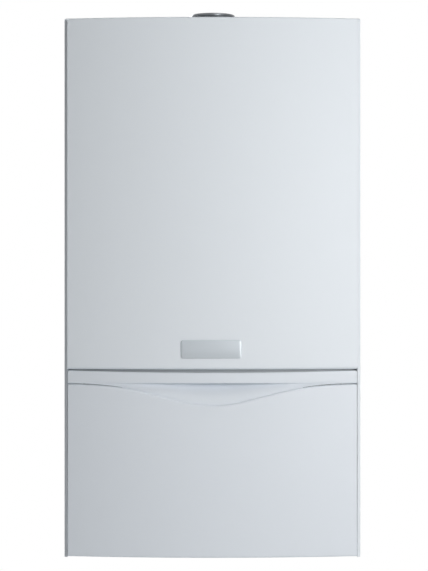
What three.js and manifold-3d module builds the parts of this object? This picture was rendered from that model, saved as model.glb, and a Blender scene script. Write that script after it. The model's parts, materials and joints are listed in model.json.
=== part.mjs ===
// Wall-hung, fan-flued combi boiler.
// Millimetres, +Z up. The wall is the plane y = 0, the front faces -Y and +X is to the right.
// The origin is the centre of the hanging bracket's back face.
// Inside the assembly group, heights are measured from the casing's underside and depths from the wall.

import * as THREE from 'three';
import { mergeVertices } from 'three/addons/utils/BufferGeometryUtils.js';
import Module from 'manifold-3d';

// ---------------------------------------------------------------- driving dimensions

// Lift-off casing
const CASING_WIDTH = 440;
const CASING_HEIGHT = 800;
const CASING_DEPTH = 318; // wall to the front at its side edges
const FRONT_BOW = 20; // how far the middle of the front stands out past its side edges
const CASING_SHEET = 1.2;
const EDGE_RADIUS = 4.5; // upright front corners
const WALL_GAP = 3; // wall to the casing's rear edges
const HEM_DEPTH = 16; // how far the front corner folds back
const HEM_WIDTH = 22; // flange at the end of that fold
const TOP_RETURN = 25; // flange folded in round the top
const TOP_RADIUS = 3;
const ROLL_RADIUS = 5; // rolled lower edge of the upper front
const ROLL_DEPTH = 12;
const SIDE_ROOM = 15; // casing side to chassis side

// Grip trim and drop-down flap
const FLAP_TOP = 257.8; // top edge of the flap at its sides
const FLAP_BOTTOM = 1;
const FLAP_WALL = 2.5;
const FLAP_RETURN = 10; // depth of the folded top and bottom edges
const FLAP_SIDE_GAP = 0.8;
const WAVE_DEPTH = 31.5; // dip of the flap's top edge at the middle
const WAVE_SPREAD = 73;
const SEAM = 1; // flap to trim
const BAND_HEIGHT = 18.7;
const BAND_DIP = 2.6; // the band's top edge sags by this much at the middle
const COVER_SEAM = 1.5; // trim to upper front, at the sides
const TRIM_WALL = 2.5;
const UPSTAND_LAP = 7; // how far the trim's upstand reaches up behind the upper front
const RECESS_DEPTH = 20;
const SCOOP_EASE = 0.6; // share of the scoop's height at which its slope starts to ease
const TRIM_END_WIDTH = 14;
const HINGE_SETBACK = 9; // hinge axis behind the side edges of the front
const HINGE_HEIGHT = 8;
const HINGE_PIN_RADIUS = 2.5;
const HINGE_BOSS_RADIUS = 5;
const HINGE_BOSS_LENGTH = 10;
const HINGE_PIN_LENGTH = 14;
const SWING_NOTCH = 26; // height of the hem flange's relief for the swinging flap
const CASING_SCREW_HEIGHT = 137;
const SCREW_RADIUS = 2;
const SCREW_HEAD_RADIUS = 4.5;
const SCREW_HEAD_HEIGHT = 2.4;
const SCREW_REACH = 6;

// Bare plate on the upper front
const PLATE_WIDTH = 89;
const PLATE_HEIGHT = 27;
const PLATE_THICKNESS = 1.2;
const PLATE_LEVEL = 309;
const PLATE_OFFSET = -2;

// Hanging bracket and chassis
const HANG_DROP = 65; // casing top to the middle of the bracket
const BRACKET_WIDTH = 360;
const BRACKET_HEIGHT = 50;
const BRACKET_SHEET = 2;
const BRACKET_HOLE_RADIUS = 4;
const BRACKET_HOLE_PITCH = 90;
const HOOK_WIDTH = 50;
const HOOK_SPACING = 240;
const HOOK_LIFT = 5; // tongue above the bracket's middle
const HOOK_TURN_UP = 12;
const CHASSIS_SHEET = 1.2;
const CHASSIS_STANDOFF = 14;
const CHASSIS_FOOT = 9; // chassis foot above the casing's underside
const CHEEK_DEPTH = 110;
const LOWER_CHEEK_HEIGHT = 236;
const LOWER_CHEEK_DEPTH = 299;
const LUG_WIDTH = 16;
const LUG_HEIGHT = 18;
const RAIL_HEIGHT = 20;
const RAIL_DEPTH = 175;

// Sealed chamber and flue
const TOP_PLATE_DROP = 15; // top plate below the casing's top
const CHAMBER_FLOOR_SHARE = 0.5; // height of the chamber's floor over the casing's height
const CHAMBER_BACK = 99;
const CHAMBER_FRONT = 290;
const CHAMBER_SHEET = 1;
const COVER_SHEET = 1.2;
const COVER_PRESSING = 3;
const FLUE_DEPTH = 160; // wall to the flue's centre
const FLUE_RADIUS = 35;
const FLUE_WALL = 2.5;
const FLUE_RISE = 25; // collar above the casing's top
const FLUE_FLANGE_RADIUS = 48;
const FLUE_FLANGE_THICKNESS = 3;

// Combustion set, stacked up from the burner
const HEARTH_DEPTH = 197; // wall to the middle of the burner and heat exchanger
const HEARTH_WIDTH = 212;
const HEARTH_LENGTH = 150; // front to back
const MANIFOLD_LIFT = 28; // chamber floor to the middle of the manifold
const BURNER_LIFT = 14; // chamber floor to the burner's underside
const BURNER_HEIGHT = 38;
const BURNER_BAR_WIDTH = 9;
const BURNER_BAR_COUNT = 11;
const BURNER_RAIL_INSET = 8;
const BURNER_RAIL_SHEET = 6;
const BURNER_RAIL_LIFT = 8;
const BURNER_RAIL_HEIGHT = 10;
const COMBUSTION_HEIGHT = 110;
const COMBUSTION_SHEET = 1;
const LINING = 12;
const EXCHANGER_HEIGHT = 58;
const EXCHANGER_SHEET = 1.5;
const FIN_COUNT = 11;
const FIN_THICKNESS = 1.4;
const FIN_INSET = 5; // fins below and above the jacket's edges
const LINK_WIDTH = 8; // bends that join the tubes' ends
const EXCHANGER_TUBE_RADIUS = 8;
const EXCHANGER_TUBE_PITCH = 44;
const EXCHANGER_TUBE_OVERHANG = 14;
const FAN_CLEARANCE = 11.3; // top of the hood to the fan's scroll
const HOOD_SHEET = 1.2;
const HOOD_TAPER = 0.3; // top of the hood over its base
const SCROLL_RADIUS = 46;
const SCROLL_WIDTH = 50;
const FAN_DUCT_WIDTH = 44;
const FAN_SHEET = 2;
const FAN_INLET_RADIUS = 22;
const FAN_WHEEL_RADIUS = 36;
const FAN_WHEEL_WIDTH = 34;
const FAN_BLADES = 12;
const FAN_BLADE_DEPTH = 10;
const FAN_MOTOR_RADIUS = 31;
const FAN_MOTOR_LENGTH = 44;
const SHAFT_RADIUS = 3;
const SHAFT_REACH = 16; // how far a wheel's shaft reaches into its motor
const WHEEL_SHEET = 2;
const WHEEL_RING = 1.5; // thickness of a wheel's inlet ring
const VANE_SHEET = 1.4;
const VANE_INSET = 0.8;
const MOTOR_FLANGE = 4;
const MOTOR_FLANGE_EXTRA = 4; // flange of the fan motor, past its can
const MOTOR_SHOULDER = 6;
const ELECTRODE_OFFSET = 40;
const ELECTRODE_RADIUS = 4;
const ELECTRODE_WIRE_RADIUS = 1.2;
const ELECTRODE_RISE = 16;
const ELECTRODE_TAIL = 10;

// Water side
const VESSEL_RADIUS = 176;
const VESSEL_THICKNESS = 78;
const VESSEL_SHEET = 1.5;
const VESSEL_SEAM = 6;
const VESSEL_DROP = 18.7; // top of the chamber to the vessel
const TAIL_DEPTH = 96; // wall to the line of pipe tails
const TAIL_PITCH = 65;
const TAIL_END = 8; // tail ends above the casing's underside
const LARGE_PIPE_RADIUS = 11;
const SMALL_PIPE_RADIUS = 7.5;
const PIPE_WALL = 1.5;
const PRIMARY_PIPE_RADIUS = 9;
const PRIMARY_BEND = 24;
const NUT_EXTRA = 5;
const NUT_HEIGHT = 13;
const NUT_LIFT = 28;
const BLOCK_BOTTOM = 100; // where the large tails meet the valve body and the pump
const BLOCK_TOP = 232;
const PORT_RADIUS = 14;
const PORT_WALL = 3;
const PLATE_STACK_WIDTH = 180;
const PLATE_STACK_DEPTH = 72;
const PLATE_STACK_HEIGHT = 44;
const PLATE_STACK_BOTTOM = 95;
const PLATE_STACK_RIBS = 9;
const PLATE_STACK_EDGE = 2; // how far the plates' edges stand proud
const SENSOR_BOTTOM = 46;
const SENSOR_RADIUS = 13;
const SENSOR_COLLAR = 8;
const TURBINE_RADIUS = 5.2;
const TURBINE_LENGTH = 9;
const TURBINE_VANE = 0.8;
const TURBINE_SPINDLE_RADIUS = 1.2;
const DIVERTER_RADIUS = 20;
const DIVERTER_HEAD_LEVEL = 182;
const DIVERTER_HEAD_WIDTH = 40;
const DIVERTER_HEAD_HEIGHT = 52;
const DIVERTER_HEAD_LENGTH = 52;
const DIVERTER_NECK_LENGTH = 18;
const HEAD_CAP_INSET = 5;
const HEAD_CAP_DEPTH = 4;
const STEM_RADIUS = 3;
const STEM_LENGTH = 32;
const STEM_BORE_DEPTH = 30;
const PUMP_LEVEL = 186;
const PUMP_RADIUS = 42;
const PUMP_BACK = 70;
const PUMP_BODY_LENGTH = 52;
const PUMP_WHEEL_RADIUS = 30;
const PUMP_WHEEL_WIDTH = 16;
const PUMP_WHEEL_ROOM = 3; // round the wheel
const PUMP_BLADES = 6;
const PUMP_BLADE_DEPTH = 20;
const PUMP_MOTOR_RADIUS = 38;
const PUMP_MOTOR_LENGTH = 70;
const OUTLET_BLOCK_WIDTH = 82;
const OUTLET_BLOCK_DEPTH = 44;
const OUTLET_BLOCK_HEIGHT = 36;
const OUTLET_BLOCK_SINK = 6; // how far it sinks into the volute
const PUMP_PORT_LENGTH = 12;
const VENT_RADIUS = 13;
const VENT_HEIGHT = 56;
const VENT_OFFSET = 40;
const RELIEF_OFFSET = 70; // middle of the casing to the relief valve
const RELIEF_RADIUS = 13;
const RELIEF_LENGTH = 76;
const RELIEF_PORT_LENGTH = 8;
const RELIEF_NIPPLE_RADIUS = 9;
const RELIEF_KNOB_RADIUS = 14;
const RELIEF_KNOB_LENGTH = 20;
const RIB_COUNT = 8;
const RIB_HEIGHT = 1.5;
const RIB_WIDTH = 4;
const HOSE_RADIUS = 4;
const HOSE_OFFSET = 60;
const HOSE_PORT_LENGTH = 6;

// Gas side
const GAS_PIPE_DEPTH = 150; // wall to the gas pipe's upper run
const GAS_PIPE_BEND_LEVEL = 62;
const GAS_VALVE_DROP = 100; // chamber floor to the valve's underside
const GAS_VALVE_WIDTH = 70;
const GAS_VALVE_DEPTH = 82;
const GAS_VALVE_HEIGHT = 60;
const GAS_VALVE_BACK = 90;
const COIL_RADIUS = 16;
const COIL_LENGTH = 28;
const GAS_PORT_LENGTH = 10;
const MANIFOLD_DEPTH = 110;
const MANIFOLD_SIZE = 15;
const JET_RADIUS = 2.5;
const JET_CLEARANCE = 2; // jet to burner bar

// Controls behind the flap
const BOX_SIDE_ROOM = 15; // control box side to chassis side
const BOX_BOTTOM = 14;
const BOX_HEIGHT = 198;
const BOX_BACK = 200;
const BOX_DEPTH = 80;
const BOX_WALL = 2.5;
const FASCIA_THICKNESS = 3.5;
const FASCIA_RIM = 2;
const ARM_RADIUS = 7;
const BOARD_WIDTH = 300;
const BOARD_HEIGHT = 150;
const BOARD_THICKNESS = 1.6;
const BOARD_STANDOFF = 12;
const POST_RADIUS = 4;
const TRANSFORMER_WIDTH = 45;
const TRANSFORMER_HEIGHT = 42;
const TRANSFORMER_DEPTH = 30;
const TRANSFORMER_INSET = 20; // from the board's lower edge
const RELAY_COUNT = 4;
const RELAY_PITCH = 30;
const RELAY_WIDTH = 20;
const RELAY_HEIGHT = 28;
const RELAY_DEPTH = 16;
const RELAY_INSET = 22; // from the board's upper edge
const SOCKET_COUNT = 6;
const SOCKET_PITCH = 26;
const SOCKET_WIDTH = 18;
const SOCKET_HEIGHT = 10;
const SOCKET_DEPTH = 12;
const SOCKET_INSET = 6;
const UPPER_ROW = 148; // heights of the two rows of controls
const LOWER_ROW = 66;
const KNOB_RADIUS = 17;
const KNOB_LENGTH = 14;
const KNOB_SPINDLE_RADIUS = 4;
const OUTER_INSET = 54.8; // box side to the gauge, the rocker and the hot-water knob
const HEATING_KNOB_INSET = 122.8;
const KNOB_SKIRT = 6; // thickness of the knob's disc
const KNOB_GRIP_HALF = 3;
const SPINDLE_LENGTH = 10;
const WINDOW_WIDTH = 76;
const WINDOW_HEIGHT = 36;
const WINDOW_X = -32;
const ROCKER_WIDTH = 28;
const ROCKER_HEIGHT = 20;
const ROCKER_TILT = 6; // degrees either side of square
const ROCKER_BACK = 4;
const ROCKER_PROUD = 5;
const ROCKER_DIP = 1.4;
const BUTTON_RADIUS = 7;
const BUTTON_INSET = 112.8;
const BUTTON_STEM = 6;
const BUTTON_PROUD = 3;
const GAUGE_RADIUS = 22;
const GAUGE_LENGTH = 28;
const GAUGE_CUP = 8;
const GAUGE_RIM = 2; // wall round the cup, and how far it stands in front of the fascia
const GAUGE_SWEEP = 240; // degrees; the needle rests at the low end
const NEEDLE_HUB_RADIUS = 2.5;
const NEEDLE_HUB_HEIGHT = 3.5;
const NEEDLE_WIDTH = 1.6;
const LENS_SHEET = 1.2;
const GLAND_RADIUS = 11;
const GLAND_BORE = 4;
const GLAND_INSET = 38.8;
const GLAND_LENGTH = 10;
const GLAND_CHAMFER = 3;
const GLAND_INSIDE = 6; // how far the neck stands inside the tray

// Clearances
const GAP = 0.3; // between faces that seat on each other
const RUNNING = 0.5; // round a piece that turns or slides
const PASSAGE = 1.5; // round a pipe that passes through a sheet

// Fineness
const FRONT_STEPS = 30;
const ROUND = 14;
const PIPE_SIDES = 10;
const TINY = 0.001;

// ---------------------------------------------------------------- derived places

const UNDERSIDE = HANG_DROP - CASING_HEIGHT;
const HANG_LEVEL = CASING_HEIGHT - HANG_DROP;
const TONGUE_TOP = HANG_LEVEL + HOOK_LIFT;
const HALF_WIDTH = CASING_WIDTH / 2;
const BOW_HALF = HALF_WIDTH - EDGE_RADIUS; // the bowed front ends where the corners begin
const CHASSIS_HALF = HALF_WIDTH - SIDE_ROOM;
const CHASSIS_INNER = CHASSIS_HALF - CHASSIS_SHEET;
const BAND_BOTTOM = FLAP_TOP + SEAM;
const BAND_TOP = BAND_BOTTOM + BAND_HEIGHT;
const COVER_BOTTOM = BAND_TOP + COVER_SEAM;
const HEM_FACE = CASING_DEPTH - HEM_DEPTH;
const TOP_PLATE_LEVEL = CASING_HEIGHT - TOP_PLATE_DROP;
const CHAMBER_TOP = TOP_PLATE_LEVEL - GAP;
const CHAMBER_HALF = CHASSIS_INNER - GAP;
const CHAMBER_FLOOR = CASING_HEIGHT * CHAMBER_FLOOR_SHARE;
const BURNER_BOTTOM = CHAMBER_FLOOR + BURNER_LIFT;
const MANIFOLD_LEVEL = CHAMBER_FLOOR + MANIFOLD_LIFT;
const COMBUSTION_BOTTOM = BURNER_BOTTOM + BURNER_HEIGHT + GAP;
const EXCHANGER_BOTTOM = COMBUSTION_BOTTOM + COMBUSTION_HEIGHT + GAP;
const HOOD_BOTTOM = EXCHANGER_BOTTOM + EXCHANGER_HEIGHT + GAP;
const FAN_LEVEL = CHAMBER_TOP - SCROLL_RADIUS - FAN_SHEET - RUNNING;
const HOOD_TOP = FAN_LEVEL - SCROLL_RADIUS - FAN_CLEARANCE;
const FAN_OFFSET = FAN_DUCT_WIDTH / 2 - SCROLL_RADIUS;
const FAN_BACK = FLUE_DEPTH - SCROLL_WIDTH / 2;
const FAN_FRONT = FLUE_DEPTH + SCROLL_WIDTH / 2;
const PRIMARY_X = (HEARTH_WIDTH / 2 + CHAMBER_HALF) / 2 + PRIMARY_PIPE_RADIUS;
const EXCHANGER_TUBE_LEVEL = EXCHANGER_BOTTOM + EXCHANGER_HEIGHT / 2;
const FLOW_X = -2 * TAIL_PITCH;
const HOT_X = -TAIL_PITCH;
const GAS_X = 0;
const COLD_X = TAIL_PITCH;
const RETURN_X = 2 * TAIL_PITCH;
const OUTLET_BLOCK_BOTTOM = PUMP_LEVEL + PUMP_RADIUS - 2 * GAP;
const OUTLET_BLOCK_TOP = OUTLET_BLOCK_BOTTOM + OUTLET_BLOCK_HEIGHT;
const OUTLET_BLOCK_LEFT = RETURN_X - OUTLET_BLOCK_WIDTH * 0.3;
const RELIEF_LEVEL = OUTLET_BLOCK_BOTTOM + OUTLET_BLOCK_HEIGHT / 2;
const DISCHARGE_DEPTH = TAIL_DEPTH + PLATE_STACK_DEPTH / 2 + SMALL_PIPE_RADIUS + NUT_EXTRA + PASSAGE;
const DIVERTER_NECK = TAIL_DEPTH + DIVERTER_RADIUS + DIVERTER_NECK_LENGTH;
const GAS_VALVE_BOTTOM = CHAMBER_FLOOR - GAS_VALVE_DROP;
const GAS_VALVE_INLET = GAS_VALVE_BOTTOM - GAS_PORT_LENGTH;
const GAS_VALVE_OUTLET = GAS_VALVE_BOTTOM + GAS_VALVE_HEIGHT + GAS_PORT_LENGTH;
const MANIFOLD_LEG_DEPTH = MANIFOLD_DEPTH + MANIFOLD_SIZE / 4;
const RELIEF_OUTLET = RELIEF_LEVEL - RELIEF_RADIUS - RELIEF_PORT_LENGTH;
const VESSEL_LEVEL = CHAMBER_TOP - VESSEL_DROP - VESSEL_RADIUS;
const HOSE_PORT_LEVEL = VESSEL_LEVEL - VESSEL_RADIUS - HOSE_PORT_LENGTH;
const PUMP_PORT_TOP = OUTLET_BLOCK_TOP + PUMP_PORT_LENGTH;
const SCREW_X = CHASSIS_HALF - LUG_WIDTH / 2;
const BOX_MIDDLE = BOX_BACK + BOX_DEPTH / 2;
const BURNER_HALF = HEARTH_WIDTH / 2 - COMBUSTION_SHEET - LINING;
const BURNER_PITCH = (2 * BURNER_HALF) / BURNER_BAR_COUNT;
const VESSEL_BACK = CHASSIS_STANDOFF + CHASSIS_SHEET + GAP;
const VESSEL_MIDDLE = VESSEL_BACK + VESSEL_THICKNESS / 2;
const BOX_HALF = CHASSIS_INNER - BOX_SIDE_ROOM;
const BOX_FRONT = BOX_BACK + BOX_DEPTH;
const FASCIA_BACK = BOX_FRONT + GAP;
const FASCIA_FRONT = FASCIA_BACK + FASCIA_THICKNESS;
const HINGE_DEPTH = CASING_DEPTH - HINGE_SETBACK;
const HOT_WATER_KNOB_X = BOX_HALF - OUTER_INSET;
const HEATING_KNOB_X = BOX_HALF - HEATING_KNOB_INSET;
const GAUGE_X = OUTER_INSET - BOX_HALF;
const ROCKER_X = OUTER_INSET - BOX_HALF;
const BUTTON_X = BUTTON_INSET - BOX_HALF;
const GLAND_X = GLAND_INSET - BOX_HALF;

// ---------------------------------------------------------------- finishes

const FINISHES = {
  whiteEnamel: { color: 0xe9edf0, roughness: 0.35, metalness: 0.0 },
  whitePlastic: { color: 0xe4e8ea, roughness: 0.45, metalness: 0.0 },
  satinPlate: { color: 0xc9ced2, roughness: 0.4, metalness: 0.3 },
  greyPlastic: { color: 0x8d9296, roughness: 0.55, metalness: 0.0 },
  blackPlastic: { color: 0x24262a, roughness: 0.5, metalness: 0.0 },
  redPlastic: { color: 0xb3202a, roughness: 0.45, metalness: 0.0 },
  galvanised: { color: 0xa9adb0, roughness: 0.45, metalness: 0.9 },
  polishedSteel: { color: 0xc7c9cb, roughness: 0.15, metalness: 1.0 },
  aluminium: { color: 0xb7babd, roughness: 0.4, metalness: 1.0 },
  copper: { color: 0xb9704a, roughness: 0.35, metalness: 1.0 },
  brass: { color: 0xc2a05a, roughness: 0.35, metalness: 1.0 },
  castIron: { color: 0x4c5054, roughness: 0.7, metalness: 0.6 },
  ceramicFibre: { color: 0xe6e0d2, roughness: 0.95, metalness: 0.0 },
  vesselRed: { color: 0x9c2a28, roughness: 0.5, metalness: 0.0 },
  circuitBoard: { color: 0x2d6a43, roughness: 0.6, metalness: 0.0 },
  clearWindow: { color: 0x9fb0b8, roughness: 0.08, metalness: 0.0 },
};

// ---------------------------------------------------------------- solids

const wasm = await Module();
wasm.setup();

// Shared corners only, no flat triangles, and faces that point outwards.
function clean(geometry) {
  const bare = geometry.clone();
  bare.deleteAttribute('normal');
  bare.deleteAttribute('uv');
  const welded = mergeVertices(bare, 1e-4);
  const position = welded.attributes.position;
  const corners = [0, 1, 2].map(() => new THREE.Vector3());
  const kept = [];
  let volume = 0;
  for (let i = 0; i < welded.index.count; i += 3) {
    const ids = [0, 1, 2].map((k) => welded.index.getX(i + k));
    if (ids[0] === ids[1] || ids[1] === ids[2] || ids[2] === ids[0]) continue;
    ids.forEach((id, k) => corners[k].fromBufferAttribute(position, id));
    volume += corners[0].dot(corners[1].clone().cross(corners[2]));
    kept.push(ids);
  }
  const order = volume < 0 ? [0, 2, 1] : [0, 1, 2];
  welded.setIndex(kept.flatMap((ids) => order.map((k) => ids[k])));
  return welded;
}

function toSolid(geometry) {
  const welded = clean(geometry);
  return new wasm.Manifold(new wasm.Mesh({
    numProp: 3,
    vertProperties: new Float32Array(welded.attributes.position.array),
    triVerts: new Uint32Array(welded.index.array),
  }));
}

function fromSolid(solid) {
  const mesh = solid.getMesh();
  const geometry = new THREE.BufferGeometry();
  geometry.setAttribute('position', new THREE.BufferAttribute(mesh.vertProperties, 3));
  geometry.setIndex(new THREE.BufferAttribute(mesh.triVerts, 1));
  return geometry;
}

function join(...geometries) {
  const solids = geometries.map(toSolid);
  return fromSolid(solids.reduce((whole, next) => whole.add(next)));
}

function cut(geometry, ...tools) {
  return fromSolid(tools.map(toSolid).reduce((rest, tool) => rest.subtract(tool), toSolid(geometry)));
}

// A block between two limits on each axis: across, depth from the wall, and height.
function block(x0, x1, depth0, depth1, height0, height1) {
  const geometry = new THREE.BoxGeometry(x1 - x0, depth1 - depth0, height1 - height0);
  return geometry.translate((x0 + x1) / 2, -(depth0 + depth1) / 2, (height0 + height1) / 2);
}

const AXES = {
  x: new THREE.Matrix4().makeRotationZ(-Math.PI / 2),
  front: new THREE.Matrix4().makeRotationX(Math.PI),
  up: new THREE.Matrix4().makeRotationX(Math.PI / 2),
};

// Turns a profile of [radius, distance along the axis] pairs about X, the front direction or up.
function turned(axis, profile, segments = ROUND) {
  const points = profile.map(([radius, along]) => new THREE.Vector2(radius, along));
  return new THREE.LatheGeometry(points, segments).applyMatrix4(AXES[axis]);
}

function rod(axis, radius, from, to, segments = ROUND) {
  return turned(axis, [[0, from], [radius, from], [radius, to], [0, to]], segments);
}

// An outline drawn with x across and y = -depth, raised from one height to another.
function column(shape, height0, height1, curveSegments = 3) {
  const settings = { depth: height1 - height0, bevelEnabled: false, curveSegments };
  const geometry = new THREE.ExtrudeGeometry(shape, settings);
  return geometry.translate(0, 0, height0);
}

// A section drawn with x = inward from the front and y = height, drawn out across the front in steps.
function acrossFront(section, halfWidth, curveSegments = 2) {
  const settings = { depth: 2 * halfWidth, steps: FRONT_STEPS, bevelEnabled: false, curveSegments };
  const geometry = new THREE.ExtrudeGeometry(section, settings).translate(0, 0, -halfWidth);
  const turn = new THREE.Matrix4().makeBasis(
    new THREE.Vector3(0, 1, 0), new THREE.Vector3(0, 0, 1), new THREE.Vector3(1, 0, 0));
  return geometry.applyMatrix4(turn).translate(0, -CASING_DEPTH, 0);
}

function reshape(geometry, move) {
  const position = geometry.attributes.position;
  const point = new THREE.Vector3();
  for (let i = 0; i < position.count; i += 1) {
    move(point.fromBufferAttribute(position, i));
    position.setXYZ(i, point.x, point.y, point.z);
  }
  return geometry;
}

const bowAt = (x) => FRONT_BOW * (1 - (x / BOW_HALF) ** 2);
const waveAt = (x) => WAVE_DEPTH * Math.exp(-(x ** 2) / (2 * WAVE_SPREAD ** 2));
const bowed = (geometry) => reshape(geometry, (point) => { point.y -= bowAt(point.x); });

function rectangle(x0, x1, y0, y1) {
  const shape = new THREE.Shape();
  shape.moveTo(x0, y0).lineTo(x1, y0).lineTo(x1, y1).lineTo(x0, y1).closePath();
  return shape;
}

function mirrored(geometry) {
  return geometry.clone().scale(-1, 1, 1);
}

// The centre line of a bent pipe: straight runs and round bends, with rings only where it turns.
class PipeRun extends THREE.Curve {
  constructor(corners, bendRadius, ringsPerBend = 2) {
    super();
    const points = corners.map(([x, depth, height]) => new THREE.Vector3(x, -depth, height));
    this.rings = [points[0]];
    for (let i = 1; i < points.length - 1; i += 1) {
      this.rings.push(...bend(points[i - 1], points[i], points[i + 1], bendRadius, ringsPerBend));
    }
    this.rings.push(points[points.length - 1]);
  }

  getPoint(t, target = new THREE.Vector3()) {
    const place = t * (this.rings.length - 1);
    const index = Math.min(Math.floor(place), this.rings.length - 2);
    return target.lerpVectors(this.rings[index], this.rings[index + 1], place - index);
  }

  getUtoTmapping(u) {
    return u;
  }
}

function bend(before, corner, after, radius, rings) {
  const inward = corner.clone().sub(before).normalize();
  const outward = after.clone().sub(corner).normalize();
  const turn = inward.angleTo(outward);
  const axis = inward.clone().cross(outward).normalize();
  const start = corner.clone().addScaledVector(inward, -radius * Math.tan(turn / 2));
  const centre = start.clone().addScaledVector(axis.clone().cross(inward), radius);
  const arm = start.clone().sub(centre);
  const stations = Array.from({ length: rings + 1 }, (_, i) => (turn * i) / rings);
  return stations.map((angle) => arm.clone().applyAxisAngle(axis, angle).add(centre));
}

function regularOutline(radius, sides) {
  const corners = Array.from({ length: sides }, (_, i) => (2 * Math.PI * i) / sides);
  return corners.map((angle) => new THREE.Vector2(radius * Math.cos(angle), radius * Math.sin(angle)));
}

function pipe(corners, radius, wall, bendRadius, sides = PIPE_SIDES) {
  const section = new THREE.Shape(regularOutline(radius, sides));
  if (wall > 0) section.holes.push(new THREE.Path(regularOutline(radius - wall, sides)));
  const extrudePath = new PipeRun(corners, bendRadius);
  return new THREE.ExtrudeGeometry(section, { steps: extrudePath.rings.length - 1, extrudePath });
}

// ---------------------------------------------------------------- nodes

const boiler = new THREE.Group();
const assembly = new THREE.Group();
assembly.position.z = UNDERSIDE;
boiler.add(assembly);

function add(group, name, geometry, finish, x = 0, depth = 0, height = 0) {
  const mesh = new THREE.Mesh(clean(geometry), new THREE.MeshStandardMaterial(FINISHES[finish]));
  mesh.name = name;
  mesh.position.set(x, -depth, height);
  group.add(mesh);
  return mesh;
}

function subgroup(parent) {
  const group = new THREE.Group();
  parent.add(group);
  return group;
}

// ---------------------------------------------------------------- casing

// Skin of the upper front: rolled lower edge, bowed face and a flange folded in at the top.
// The flange ends on a straight line, over the rim of the top plate.
function frontSkin() {
  const t = CASING_SHEET;
  const roll = COVER_BOTTOM + ROLL_RADIUS;
  const shoulder = CASING_HEIGHT - TOP_RADIUS;
  const section = new THREE.Shape();
  section.moveTo(ROLL_DEPTH, COVER_BOTTOM);
  section.lineTo(ROLL_RADIUS, COVER_BOTTOM);
  section.absarc(ROLL_RADIUS, roll, ROLL_RADIUS, -Math.PI / 2, -Math.PI, true);
  section.lineTo(0, shoulder);
  section.absarc(TOP_RADIUS, shoulder, TOP_RADIUS, Math.PI, Math.PI / 2, true);
  section.lineTo(TOP_RETURN, CASING_HEIGHT);
  section.lineTo(TOP_RETURN, CASING_HEIGHT - t);
  section.lineTo(TOP_RADIUS, CASING_HEIGHT - t);
  section.absarc(TOP_RADIUS, shoulder, TOP_RADIUS - t, Math.PI / 2, Math.PI, false);
  section.lineTo(t, roll);
  section.absarc(ROLL_RADIUS, roll, ROLL_RADIUS - t, Math.PI, 1.5 * Math.PI, false);
  section.lineTo(ROLL_DEPTH, COVER_BOTTOM + t);
  section.closePath();
  return reshape(acrossFront(section, BOW_HALF + t / 2), (point) => {
    const atFlangeEnd = point.y > -CASING_DEPTH + TOP_RETURN - t;
    if (!atFlangeEnd) point.y -= bowAt(point.x);
  });
}

// Right side: the sheet runs forward from the wall, round the corner, back along the hem and inwards.
function casingSide() {
  const t = CASING_SHEET;
  const centreX = HALF_WIDTH - EDGE_RADIUS;
  const centreY = -(CASING_DEPTH - EDGE_RADIUS);
  const innerRadius = EDGE_RADIUS - t;
  const hemAngle = -Math.acos(t / innerRadius);
  const section = new THREE.Shape();
  section.moveTo(HALF_WIDTH, -WALL_GAP);
  section.lineTo(HALF_WIDTH, centreY);
  section.absarc(centreX, centreY, EDGE_RADIUS, 0, -Math.PI / 2, true);
  section.lineTo(centreX, -HEM_FACE);
  section.lineTo(centreX - HEM_WIDTH, -HEM_FACE);
  section.lineTo(centreX - HEM_WIDTH, -HEM_FACE + t);
  section.lineTo(centreX + t, -HEM_FACE + t);
  section.absarc(centreX, centreY, innerRadius, hemAngle, 0, false);
  section.lineTo(HALF_WIDTH - t, -WALL_GAP);
  section.closePath();
  return column(section, 0, CASING_HEIGHT, 2);
}

function outerCasing() {
  const topFlange = block(HALF_WIDTH - TOP_RETURN, HALF_WIDTH - CASING_SHEET / 2, WALL_GAP,
    CASING_DEPTH - EDGE_RADIUS, CASING_HEIGHT - CASING_SHEET, CASING_HEIGHT);
  const side = join(casingSide(), topFlange);
  const notch = block(BOW_HALF - HEM_WIDTH - 1, BOW_HALF, HEM_FACE - 2 * CASING_SHEET, HEM_FACE + GAP,
    -1, SWING_NOTCH);
  const hingeHole = rod('x', HINGE_PIN_RADIUS + GAP, BOW_HALF - 1, BOW_HALF + CASING_SHEET + 1)
    .translate(0, -HINGE_DEPTH, HINGE_HEIGHT);
  const screwHole = rod('front', SCREW_RADIUS + GAP, HEM_FACE - 2 * CASING_SHEET, HEM_FACE + 1)
    .translate(SCREW_X, 0, CASING_SCREW_HEIGHT);
  const rightSide = cut(side, notch, hingeHole, screwHole);
  return join(frontSkin(), rightSide, mirrored(rightSide));
}

// Pan head on a short shank.
function casingScrew() {
  const head = SCREW_HEAD_HEIGHT;
  const profile = [[0, -SCREW_REACH], [SCREW_RADIUS, -SCREW_REACH], [SCREW_RADIUS, GAP],
    [SCREW_HEAD_RADIUS, GAP], [SCREW_HEAD_RADIUS * 0.85, GAP + head], [0, GAP + head]];
  return turned('front', profile, 12);
}

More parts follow.
